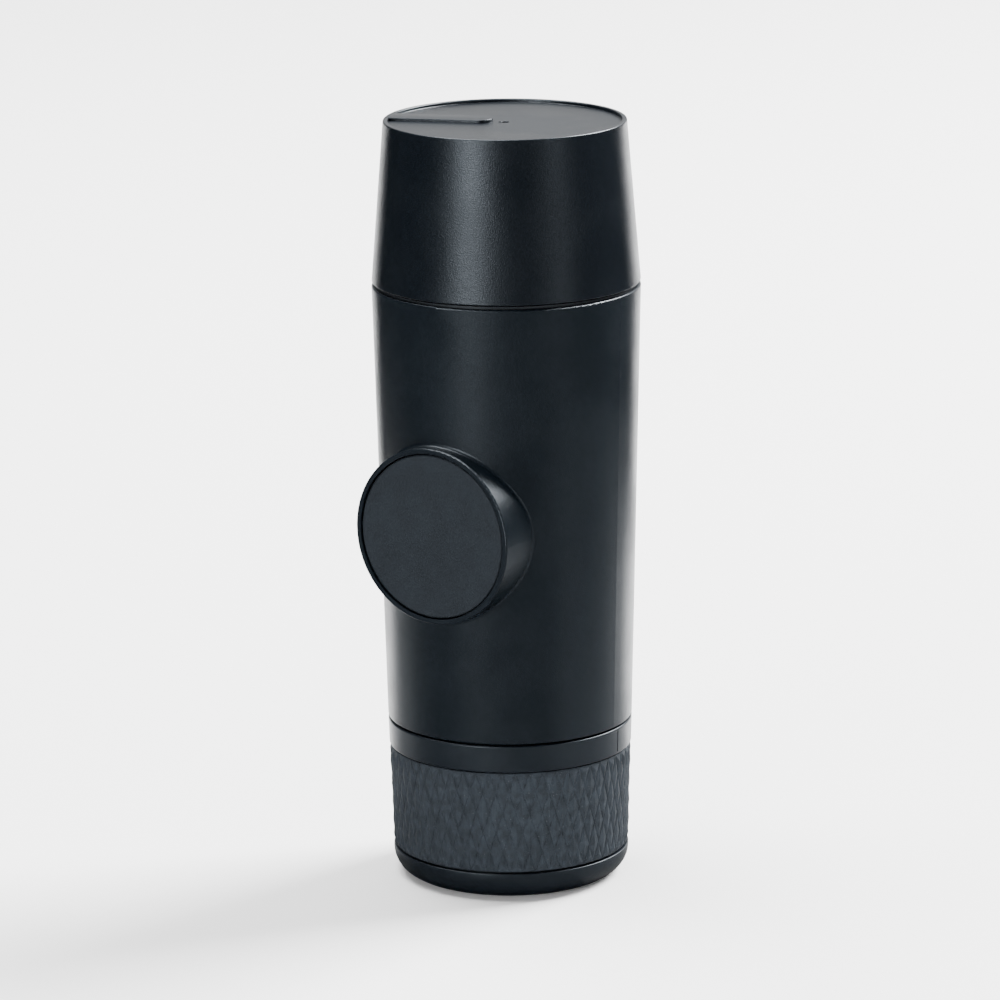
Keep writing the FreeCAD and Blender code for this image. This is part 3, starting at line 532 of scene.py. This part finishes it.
def makeFinish(name):
    look = finishes[name]
    material = bpy.data.materials.new(name)
    material.use_nodes = True
    tree = material.node_tree
    shader = tree.nodes["Principled BSDF"]
    shader.inputs["Specular IOR Level"].default_value = look["specular"]
    # painted light: the specular tint gives every reflection the cool colour of the lamps
    shader.inputs["Specular Tint"].default_value = (*look.get("paintedLampTint", (1, 1, 1)), 1)
    shader.inputs["Metallic"].default_value = look.get("metal", 0.0)
    grain = tree.nodes.new("ShaderNodeGroup")
    grain.node_tree = mouldGrain
    grain.inputs["Grain Size"].default_value = look["grain"]
    grain.inputs["Smudge Size"].default_value = look["smudge"]
    smudge = grain.outputs["Smudge"]
    tree.links.new(rangeNode(tree, smudge, 0, 1, *look["rough"]), shader.inputs["Roughness"])
    blend = tree.nodes.new("ShaderNodeMix")
    blend.data_type = "RGBA"
    plain = look["colour"]
    blend.inputs["A"].default_value = (*plain, 1)
    blend.inputs["B"].default_value = (*(part * look["tint"] for part in plain), 1)
    tree.links.new(smudge, blend.inputs["Factor"])
    colour = blend.outputs["Result"]
    if "flecks" in look:
        spacing, share, size, bright = look["flecks"]
        speck = tree.nodes.new("ShaderNodeGroup")
        speck.node_tree = flecks
        for title, value in (("Spacing", spacing), ("Share", share), ("Fleck Size", size)):
            speck.inputs[title].default_value = value
        over = tree.nodes.new("ShaderNodeMix")
        over.data_type = "RGBA"
        tree.links.new(speck.outputs["Mask"], over.inputs["Factor"])
        tree.links.new(colour, over.inputs["A"])
        over.inputs["B"].default_value = (*bright, 1)
        colour = over.outputs["Result"]
    tree.links.new(colour, shader.inputs["Base Color"])
    bump = tree.nodes.new("ShaderNodeBump")
    bump.inputs["Distance"].default_value = look["grainDepth"] * mm
    tree.links.new(grain.outputs["Height"], bump.inputs["Height"])
    tree.links.new(bump.outputs["Normal"], shader.inputs["Normal"])
    return material


materials = {name: makeFinish(name) for name in finishes}
slotFinishes = {  # the record's slots
    "body_plastic": "bodyPlastic",
    "cup_plastic": "cupPlastic",
    "tank_plastic": "tankPlastic",
    "grip_rubber": "gripRubber",
    "knob_plastic": "knobPlastic",
    "knob_pad": "padSoftTouch",
    "inner_plastic": "innerPlastic",
    "head_plastic": "headPlastic",
    "seal_rubber": "sealRubber",
    "steel": "steel",
}
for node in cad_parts.values():
    for place in node.material_slots:
        place.material = materials[slotFinishes[place.material.name.split(".")[0]]]
print("finishes are on", len(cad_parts), "nodes")


# Cup

cupSizes = {
    "low": 136.8, "high": 172.8, "wall": 1.6, "rimWidth": 1.1, "plate": 172.05, "floor": 170.05,
    "edge": 0.35, "lowEdge": 0.18, "rimEdge": 0.3, "plateRound": 0.15, "innerRound": 3.0,
    "barLength": 23.15, "barWidth": 5.8, "barDepth": 0.6, "barAngle": 200.0, "barEdge": 0.18,
    "dimple": 0.95, "dimpleDepth": 0.8, "dimpleRound": 0.1, "dimpleFloorRound": 0.15,
    "pip": 0.28, "pipHeight": 0.12, "pipPlace": (-0.93, -0.59),
}


def makeCup():
    size = cupSizes
    low, high, wall, edge = size["low"], size["high"], size["wall"], size["edge"]
    rimInner = barrelRadius(high) - size["rimWidth"]
    cup = lathe("cupShell", [
        (0, size["floor"]),
        (barrelRadius(size["floor"]) - wall, size["floor"], size["innerRound"]),
        (barrelRadius(low) - wall, low, edge),
        (barrelRadius(low), low, size["lowEdge"]),
        (barrelRadius(high), high, edge),
        (rimInner, high, size["rimEdge"]),
        (rimInner, size["plate"], size["plateRound"]),
        (size["dimple"], size["plate"], size["dimpleRound"]),
        (size["dimple"], size["plate"] - size["dimpleDepth"], size["dimpleFloorRound"]),
        (0, size["plate"] - size["dimpleDepth"]),
    ])
    boolean(cup, makeBar(rimInner), "UNION")
    plate = size["plate"]
    pip = rod("pip", size["pip"], plate - 0.1, plate + size["pipHeight"], *size["pipPlace"])
    cup = joined([cup, pip])
    smoothen(cup)
    return fit(cup, "cup", "cup_plastic", materials["cupPlastic"], "cup")


def makeBar(rimInner):  # its outer end sinks into the rim and its inner end is round
    size = cupSizes
    reach = rimInner + size["rimWidth"] / 2
    innerEnd = rimInner - size["barLength"]
    low = size["plate"] - size["barDepth"]
    bar = block(
        "bar", (reach - innerEnd, size["barWidth"], size["high"] - low),
        ((reach + innerEnd) / 2, 0, (size["high"] + low) / 2),
    )
    selectWhere(bar, "edges", lambda edge: all(
        end.x < (innerEnd + 0.1) * mm for end in edgeEnds(bar, edge)
    ) and abs(edgeEnds(bar, edge)[0].z - edgeEnds(bar, edge)[1].z) > 0.5 * mm)
    bpy.ops.mesh.bevel(offset=size["barWidth"] / 2 * mm * 0.999, segments=14, affect="EDGES")
    bpy.ops.object.mode_set(mode="OBJECT")
    selectWhere(bar, "edges", lambda edge: all(
        end.z > (size["high"] - 0.01) * mm for end in edgeEnds(bar, edge)
    ) and not all(end.x > (reach - 0.01) * mm for end in edgeEnds(bar, edge)))
    bpy.ops.mesh.bevel(offset=size["barEdge"] * mm, segments=4, affect="EDGES")
    bpy.ops.object.mode_set(mode="OBJECT")
    turnAboutZ(bar, size["barAngle"])
    return bar


makeCup()
print("cup is modelled")


# Threads: ridges that climb with the joint that unscrews them

def thread(name, spec):
    root, tip, lead = spec["root"], spec["tip"], spec["lead"]
    turns = (spec["high"] - spec["low"]) / lead
    wide, narrow = spec["base"] / 2, spec["crest"] / 2
    corners = [(root, -wide), (tip, -narrow), (tip, narrow), (root, wide)]
    ridge = drawProfile(name, [Vector((across, up + spec["low"])) for across, up in corners], True)
    bpy.ops.object.mode_set(mode="OBJECT")
    steps = round(spec.get("sides", 72) * turns)
    applyModifier(
        ridge, "SCREW", angle=2 * math.pi * turns, screw_offset=lead * turns * mm,
        steps=steps, render_steps=steps, use_merge_vertices=False,
    )
    fadeEnds(ridge, spec)
    editAll(ridge)
    bpy.ops.mesh.select_mode(type="EDGE")
    bpy.ops.mesh.select_all(action="DESELECT")
    bpy.ops.mesh.select_non_manifold()
    bpy.ops.mesh.fill_holes(sides=0)
    closeUp(ridge)
    starts = [ridge]
    for index in range(1, spec["starts"]):
        twin = copyOf(ridge)
        turnAboutZ(twin, 360 * index / spec["starts"])
        starts.append(twin)
    whole = joined(starts)
    smoothen(whole, 40)
    return whole


def fadeEnds(ridge, spec):  # the crest runs down to the root over the last few degrees of each end
    fade = 24 / 360 * spec["lead"]
    for vertex in ridge.data.vertices:
        reach = math.hypot(vertex.co.x, vertex.co.y) / mm
        if abs(reach - spec["tip"]) > 0.05:
            continue
        height = vertex.co.z / mm
        ending = min(height - spec["low"] + spec["crest"] / 2, spec["high"] + spec["crest"] / 2 - height)
        share = min(max(ending / fade, 0.12), 1)
        wanted = spec["root"] + (spec["tip"] - spec["root"]) * share
        vertex.co.x *= wanted / reach
        vertex.co.y *= wanted / reach


threads = {
    "tankThread": {
        "root": 24.25, "tip": 25.1, "lead": 6.0, "starts": 3,
        "low": 38.4, "high": 44.6, "base": 1.1, "crest": 0.5,
    },
    "socketThread": {
        "root": 25.45, "tip": 24.62, "lead": 6.0, "starts": 3,
        "low": 39.4, "high": 44.4, "base": 0.8, "crest": 0.35,
    },
    "headThread": {
        "root": 22.3, "tip": 22.92, "lead": 4.0, "starts": 2,
        "low": 125.6, "high": 136.6, "base": 1.0, "crest": 0.45,
    },
    "wellThread": {
        "root": 23.35, "tip": 22.76, "lead": 4.0, "starts": 2,
        "low": 130.6, "high": 137.9, "base": 0.7, "crest": 0.35,
    },
}


# Water tank

tankSizes = {
    "footRound": 5.7, "baseTop": 6.475, "edge": 0.35, "baseEdge": 0.2,
    "sleeveLow": 6.7, "sleeveHigh": 30.2, "sleeveThick": 1.8, "ringLow": 30.325, "ringTop": 36.475,
    "neckTop": 45.975, "neckRadius": 24.3, "neckRound": 0.4, "bore": 22.8, "floor": 2.6, "floorRound": 6.0,
    "tickAngle": 4.0, "tickWidth": 0.35, "tickDepth": 0.3, "tickMargin": 0.6,
}


def makeTank():
    size = tankSizes
    edge = size["edge"]
    recessLow = barrelRadius(size["sleeveLow"]) - size["sleeveThick"]
    recessHigh = barrelRadius(size["sleeveHigh"]) - size["sleeveThick"]
    tank = lathe("tankBody", [
        (0, 0),
        (barrelRadius(0), 0, size["footRound"]),
        (barrelRadius(0), size["baseTop"], size["baseEdge"]),
        (recessLow, size["baseTop"]),
        (recessHigh, size["ringLow"]),
        (barrelRadius(size["ringLow"]), size["ringLow"], edge),
        (barrelRadius(size["ringTop"]), size["ringTop"], edge),
        (size["neckRadius"], size["ringTop"], size["neckRound"]),
        (size["neckRadius"], size["neckTop"], edge),
        (size["bore"], size["neckTop"], edge),
        (size["bore"], size["floor"], size["floorRound"]),
        (0, size["floor"]),
    ], arcStep=9)
    tickLow = size["ringLow"] + size["tickMargin"]
    tickHigh = size["ringTop"] - size["tickMargin"]
    tick = block(
        "tick", (2 * size["tickDepth"], size["tickWidth"], tickHigh - tickLow),
        (barrelRadius(tickLow), 0, (tickLow + tickHigh) / 2),
    )
    turnAboutZ(tick, size["tickAngle"])
    boolean(tank, tick)
    smoothen(tank)
    fit(tank, "tank", "tank_plastic", materials["tankPlastic"], "tank_shell")
    fit(thread("tankThread", threads["tankThread"]), "tank", "tank_plastic", materials["tankPlastic"])
    socket = thread("socketThread", threads["socketThread"])
    fit(socket, "main_body", "body_plastic", materials["bodyPlastic"])


makeTank()
print("tank and its threads are modelled")


# Grip sleeve: pillowed diamonds in staggered rows

sleeveSizes = {
    "low": 6.925, "high": 30.075, "inner": 1.75, "round": 56, "levels": 5, "relief": 0.12, "proud": 0.02,
    "groove": 0.2, "pillow": 0.32, "uneven": 0.08,
}


def makeSleeve():
    size = sleeveSizes
    low, high = size["low"], size["high"]
    level = (high - low) / size["levels"]
    rows = math.ceil(size["levels"] / 2)
    valley = size["relief"] + size["proud"] + size["pillow"] * 0.75
    deselectAll()
    startRadius = barrelRadius(low) - valley
    bpy.ops.mesh.primitive_circle_add(
        vertices=size["round"], radius=startRadius * mm, location=(0, 0, low * mm),
    )
    sleeve = bpy.context.object
    sleeve.name = "gripSleeve"
    applyPlace(sleeve)
    editAll(sleeve)
    radius = startRadius
    for row in range(rows):  # cells two levels high
        wanted = barrelRadius(low + 2 * level * (row + 1)) - valley
        bpy.ops.mesh.extrude_region_move(TRANSFORM_OT_translate={"value": (0, 0, 2 * level * mm)})
        grow = wanted / radius
        bpy.ops.transform.resize(value=(grow, grow, 1), center_override=(0, 0, 0))
        radius = wanted
    bpy.ops.mesh.select_all(action="SELECT")
    bpy.ops.mesh.normals_make_consistent(inside=False)
    bpy.ops.mesh.poke()
    bpy.ops.object.mode_set(mode="OBJECT")
    placeRound(sleeve, lambda vertex: True, valley)  # the new middles go out to the round
    selectWhere(sleeve, "edges", lambda edge: isCellEdge(sleeve, edge, low, low + 2 * level * rows))
    bpy.ops.mesh.dissolve_edges(use_verts=False)
    bpy.ops.mesh.select_all(action="SELECT")
    bpy.ops.mesh.bisect(
        plane_co=(0, 0, high * mm), plane_no=(0, 0, 1), clear_outer=True, threshold=0.0001 * mm,
    )
    bpy.ops.mesh.select_mode(type="FACE")
    bpy.ops.mesh.select_all(action="SELECT")
    bpy.ops.mesh.inset(
        thickness=size["groove"] * mm, depth=size["relief"] * mm, use_individual=True, use_boundary=False,
    )
    bpy.ops.mesh.poke(offset=size["pillow"] * mm)
    bpy.ops.object.mode_set(mode="OBJECT")
    unevenMiddles(sleeve)
    closeSleeve(sleeve)
    return sleeve


def placeRound(piece, wanted, depth):  # puts vertices at a depth under the barrel's outside
    for vertex in piece.data.vertices:
        if wanted(vertex):
            reach = math.hypot(vertex.co.x, vertex.co.y)
            grow = (barrelRadius(vertex.co.z / mm) - depth) * mm / reach
            vertex.co.x *= grow
            vertex.co.y *= grow


def depthOf(vertex):  # how far a vertex lies under the barrel's outside
    return barrelRadius(vertex.co.z / mm) - math.hypot(vertex.co.x, vertex.co.y) / mm


def unevenMiddles(sleeve):  # each cell's middle stands a little higher or lower, as on the moulded rubber
    size = sleeveSizes
    chance = random.Random(11)
    for vertex in sleeve.data.vertices:
        reach = math.hypot(vertex.co.x, vertex.co.y) / mm
        if reach > barrelRadius(vertex.co.z / mm) - size["proud"] - size["pillow"] / 2:
            lift = 1 + chance.uniform(-1, 0.2) * size["uneven"] / reach
            vertex.co.x *= lift
            vertex.co.y *= lift


def closeSleeve(sleeve):  # rims run in to an inner wall
    size = sleeveSizes
    low, high = size["low"], size["high"]
    for vertex in sleeve.data.vertices:  # both borders lie flat
        for border in (low, high):
            if abs(vertex.co.z - border * mm) < 0.06 * mm:
                vertex.co.z = border * mm
    editAll(sleeve)
    bpy.ops.mesh.select_mode(type="EDGE")
    bpy.ops.mesh.select_all(action="DESELECT")
    bpy.ops.mesh.select_non_manifold()
    bpy.ops.mesh.extrude_edges_move()
    shrink = 1 - size["inner"] / barrelRadius(high)
    bpy.ops.transform.resize(value=(shrink, shrink, 1), center_override=(0, 0, 0))
    bpy.ops.object.mode_set(mode="OBJECT")
    half = size["inner"] / 2
    placeRound(sleeve, lambda vertex: depthOf(vertex) > half, size["inner"])
    editAll(sleeve)
    bpy.ops.mesh.select_mode(type="EDGE")
    bpy.ops.mesh.select_all(action="DESELECT")
    bpy.ops.mesh.select_non_manifold()
    bpy.ops.mesh.bridge_edge_loops()
    closeUp(sleeve)


def isCellEdge(piece, edge, low, high):
    first, second = edgeEnds(piece, edge)
    flat = abs(first.z - second.z) < 0.01 * mm
    ring = flat and (abs(first.z - low * mm) < 0.01 * mm or abs(first.z - high * mm) < 0.01 * mm)
    turn = math.atan2(first.x * second.y - first.y * second.x, first.x * second.x + first.y * second.y)
    upright = abs(turn) < 1e-4
    return (flat and not ring) or upright


sleeve = makeSleeve()
smoothen(sleeve, 8)
fit(sleeve, "tank", "grip_rubber", materials["gripRubber"], "tank_sleeve")
print("grip sleeve is modelled")


# Outlet head: notched grip over the threaded skirt, and the spout

headSizes = {
    "skirtInner": 20.3, "threadRoot": 22.35, "skirtLow": 123.85, "threadTop": 138.2, "land": 22.94,
    "sealLow": 139.45, "sealHigh": 141.35, "sealRoot": 21.41, "deckLow": 143.4, "deckHigh": 146.4,
    "gripOuter": 25.09, "gripInner": 22.89, "gripHigh": 149.4, "edge": 0.35, "gripEdge": 0.6,
    "skirtRound": 0.5, "skirtLip": 0.2, "threadRound": 0.3, "landRise": 0.6, "landRound": 0.2,
    "sealEdge": 0.1,
    "notches": 24, "notchRadius": 1.1, "notchOut": 0.55, "deckRound": 0.8,
    "spoutFoot": 5.5, "footRound": 1.0, "spoutTop": 4.5, "spoutHigh": 149.9, "spoutBore": 3.05,
    "spoutLip": 0.15,
}


def makeHead():
    size = headSizes
    edge = size["edge"]
    head = lathe("headBody", [
        (size["spoutBore"], size["deckLow"]),
        (size["skirtInner"], size["deckLow"], size["skirtRound"]),
        (size["skirtInner"], size["skirtLow"], size["skirtLip"]),
        (size["threadRoot"], size["skirtLow"], edge),
        (size["threadRoot"], size["threadTop"], size["threadRound"]),
        (size["land"], size["threadTop"] + size["landRise"], size["landRound"]),
        (size["land"], size["sealLow"], size["sealEdge"]),
        (size["sealRoot"], size["sealLow"]),
        (size["sealRoot"], size["sealHigh"]),
        (size["land"], size["sealHigh"], size["sealEdge"]),
        (size["land"], size["deckLow"]),
        (size["gripOuter"], size["deckLow"], edge),
        (size["gripOuter"], size["gripHigh"], size["gripEdge"]),
        (size["gripInner"], size["gripHigh"], size["gripEdge"]),
        (size["gripInner"], size["deckHigh"], size["deckRound"]),
        (size["spoutFoot"], size["deckHigh"], size["footRound"]),
        (size["spoutTop"], size["spoutHigh"], edge),
        (size["spoutBore"], size["spoutHigh"], size["spoutLip"]),
    ])
    notch = rod(
        "notches", size["notchRadius"], size["deckLow"] - 1, size["gripHigh"] + 1,
        across=size["gripOuter"] + size["notchOut"],
    )
    notches = [notch]
    for index in range(1, size["notches"]):
        twin = copyOf(notch)
        turnAboutZ(twin, 360 * index / size["notches"])
        notches.append(twin)
    boolean(head, joined(notches))
    smoothen(head)
    fit(head, "head", "head_plastic", materials["headPlastic"], "outlet_head")
    fit(thread("headThread", threads["headThread"]), "head", "head_plastic", materials["headPlastic"])
    fit(thread("wellThread", threads["wellThread"]), "main_body", "inner_plastic", materials["innerPlastic"])


makeHead()
print("outlet head and its threads are modelled")


# Knob pad, with a slight crown

padSizes = {"radius": 18.4, "low": 30.2, "edge": 31.32, "edgeRound": 0.45, "crown": 31.49}


def makePad():
    size = padSizes
    rise = size["crown"] - size["edge"]
    crown = [
        (size["radius"] * share, size["edge"] + rise * (1 - share ** 2))
        for share in (0.9, 0.75, 0.6, 0.45, 0.3, 0.15, 0)
    ]
    pad = lathe("softPad", [
        (0, size["low"]), (size["radius"], size["low"]),
        (size["radius"], size["edge"], size["edgeRound"]), *crown,
    ])
    layOnKnobAxis(pad)
    smoothen(pad)
    return fit(pad, "knob", "knob_pad", materials["padSoftTouch"], "knob_pad")


makePad()


# Screws with a domed head, a cross recess and a thread

screws = {
    "plate": {
        "headRadius": 2.3, "headHeight": 1.5, "seat": 47.525, "length": 12.0, "recess": 1.9, "slot": 0.55,
        "recessDepth": 0.9, "circle": 19.5, "angles": (30, 150, 270),
    },
    "shower": {
        "headRadius": 2.8, "headHeight": 1.4, "seat": 121.8, "length": 3.7, "recess": 2.4, "slot": 0.65,
        "recessDepth": 0.85,
    },
}


def makeScrew(name, spec):  # modelled with its head below and its shank up from a seat at zero
    head, length = spec["headHeight"], spec["length"]
    screw = lathe(name, [
        (0, -head),
        (spec["headRadius"] * 0.6, -head, 0.5),
        (spec["headRadius"], -head * 0.4, 0.3),
        (spec["headRadius"], 0, 0.1),
        (1.0, 0, 0.1),
        (1.0, length, 0.3),
        (0, length),
    ], steps=48)
    for across in (spec["recess"], spec["slot"]):
        along = spec["recess"] + spec["slot"] - across
        boolean(screw, block("recess", (across, along, 2 * spec["recessDepth"]), (0, 0, -head)))
    ridge = thread(name + "Ridge", {
        "root": 0.95, "tip": 1.24, "lead": 0.8, "starts": 1, "low": 0.6, "high": length - 0.6,
        "base": 0.5, "crest": 0.1, "sides": 24,
    })
    return joined([screw, ridge])


def makeScrews():
    spec = screws["plate"]
    first = makeScrew("plateScrews", spec)
    first.location = Vector((spec["circle"], 0, spec["seat"])) * mm
    applyPlace(first)
    others = [copyOf(first) for angle in spec["angles"][1:]]
    for screw, angle in zip([first, *others], spec["angles"]):
        turnAboutZ(screw, angle)
    whole = joined([first, *others])
    smoothen(whole, 35)
    fit(whole, "main_body", "steel", materials["steel"], "plate_screws")
    spec = screws["shower"]
    screw = makeScrew("showerScrew", spec)
    screw.rotation_euler = (math.pi, 0, 0)
    screw.location = (0, 0, spec["seat"] * mm)
    applyPlace(screw)
    smoothen(screw, 35)
    fit(screw, "main_body", "steel", materials["steel"], "shower_screw")


makeScrews()
print("knob pad and screws are modelled")


# Valve springs, which each ball squeezes as it lifts in the real maker; here each is built at rest

valveSprings = {
    "radius": 1.8, "wire": 0.4, "turns": 4, "along": 15.5, "wireSides": 10, "turnSteps": 32, "travel": 1.0,
    "ends": {"inlet": (81.66, 86.4), "outlet": (91.31, 96.05)},  # low and high
}


def makeSpring(name, low, high):
    size = valveSprings
    half = size["wire"] / 2
    deselectAll()
    bpy.ops.mesh.primitive_circle_add(vertices=size["wireSides"], radius=half * mm)
    spring = bpy.context.object
    spring.name = name + "Coil"
    spring.rotation_euler = (math.pi / 2, 0, 0)
    spring.location = Vector((size["radius"], 0, low + half)) * mm
    applyPlace(spring)
    applyModifier(
        spring, "SCREW", angle=2 * math.pi * size["turns"], screw_offset=(high - low - size["wire"]) * mm,
        steps=size["turns"] * size["turnSteps"], render_steps=size["turns"] * size["turnSteps"],
    )
    editAll(spring)
    bpy.ops.mesh.select_mode(type="EDGE")
    bpy.ops.mesh.select_all(action="DESELECT")
    bpy.ops.mesh.select_non_manifold()
    bpy.ops.mesh.fill_holes(sides=0)
    closeUp(spring)
    spring.data.transform(Matrix.Translation((0, size["along"] * mm, 0)))
    smoothen(spring, 40)
    fit(spring, "main_body", "steel", materials["steel"], name + "_spring")
    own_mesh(spring)


for name, (low, high) in valveSprings["ends"].items():
    makeSpring(name, low, high)
print("valve springs are modelled")


# Pierced sheet: the basket and both screens

def pierce(piece, spec, middle=(0, 0)):  # rings of six, twelve, eighteen and so on round one middle hole
    rings = []
    for ring in range(spec["firstRing"], spec["rings"] + 1):
        count = max(6 * ring, 1)
        hole = rod(
            "holes", spec["holeRadius"], spec["holesLow"], spec["holesHigh"],
            middle[0] + ring * spec["spacing"], middle[1], sides=spec["holeSides"],
        )
        if count > 1:
            editAll(hole)
            bpy.ops.mesh.spin(
                steps=count - 1, dupli=True, angle=2 * math.pi * (count - 1) / count,
                center=(middle[0] * mm, middle[1] * mm, 0), axis=(0, 0, 1),
            )
            bpy.ops.object.mode_set(mode="OBJECT")
        rings.append(hole)
    return boolean(piece, joined(rings))


pierced = {
    "basket": {
        "low": 123.0, "high": 142.0, "outer": 19.99, "sheet": 0.5, "round": 1.0, "mouthRound": 0.35,
        "flange": 22.69, "flangeHigh": 123.8, "flangeFoot": 0.5,
        "rollShare": 0.84,  # of half the flange, so that its two roundings and their holds don't meet
        "firstRing": 0, "rings": 8, "spacing": 2.05,
        "holeRadius": 0.42, "holeSides": 10, "holesLow": 141.2, "holesHigh": 142.4,
    },
    "shower": {
        "low": 121.15, "high": 121.75, "outer": 18.59, "middleHole": 1.55,
        "edge": 0.12, "upperEdge": 0.25, "holeEdge": 0.1,
        "firstRing": 2, "rings": 7, "spacing": 2.25,
        "holeRadius": 0.5, "holeSides": 12, "holesLow": 120.8, "holesHigh": 122.1,
    },
    "inlet": {
        "low": 47.575, "high": 48.325, "outer": 4.9, "middle": (0, 15.5), "edge": 0.12,
        "firstRing": 0, "rings": 4, "spacing": 1.02,
        "holeRadius": 0.33, "holeSides": 10, "holesLow": 47.2, "holesHigh": 48.7,
    },
}


def makeBasket():
    size = pierced["basket"]
    low, high, sheet, outer = size["low"], size["high"], size["sheet"], size["outer"]
    roll = (size["flangeHigh"] - low) / 2 * size["rollShare"]
    basket = lathe("basketShell", [
        (outer - sheet, low, size["mouthRound"]),
        (size["flange"], low, roll),
        (size["flange"], size["flangeHigh"], roll),
        (outer, size["flangeHigh"], size["flangeFoot"]),
        (outer, high, size["round"]),
        (0, high),
        (0, high - sheet),
        (outer - sheet, high - sheet, size["round"] / 2),
    ])
    pierce(basket, size)
    smoothen(basket)
    return fit(basket, "basket", "steel", materials["steel"], "filter_basket")


def makeScreens():
    size = pierced["shower"]
    shower = lathe("showerPlate", [
        (size["middleHole"], size["low"]), (size["outer"], size["low"], size["edge"]),
        (size["outer"], size["high"], size["upperEdge"]), (size["middleHole"], size["high"], size["holeEdge"]),
    ])
    pierce(shower, size)
    smoothen(shower)
    fit(shower, "main_body", "steel", materials["steel"], "shower_screen")
    size = pierced["inlet"]
    inlet = lathe("inletPlate", [
        (0, size["low"]), (size["outer"], size["low"], size["edge"]),
        (size["outer"], size["high"]), (0, size["high"]),
    ], steps=72)
    inlet.data.transform(Matrix.Translation(Vector((*size["middle"], 0)) * mm))
    pierce(inlet, size, size["middle"])
    smoothen(inlet)
    fit(inlet, "main_body", "steel", materials["steel"], "inlet_screen")


makeBasket()
makeScreens()
print("basket and screens are modelled")
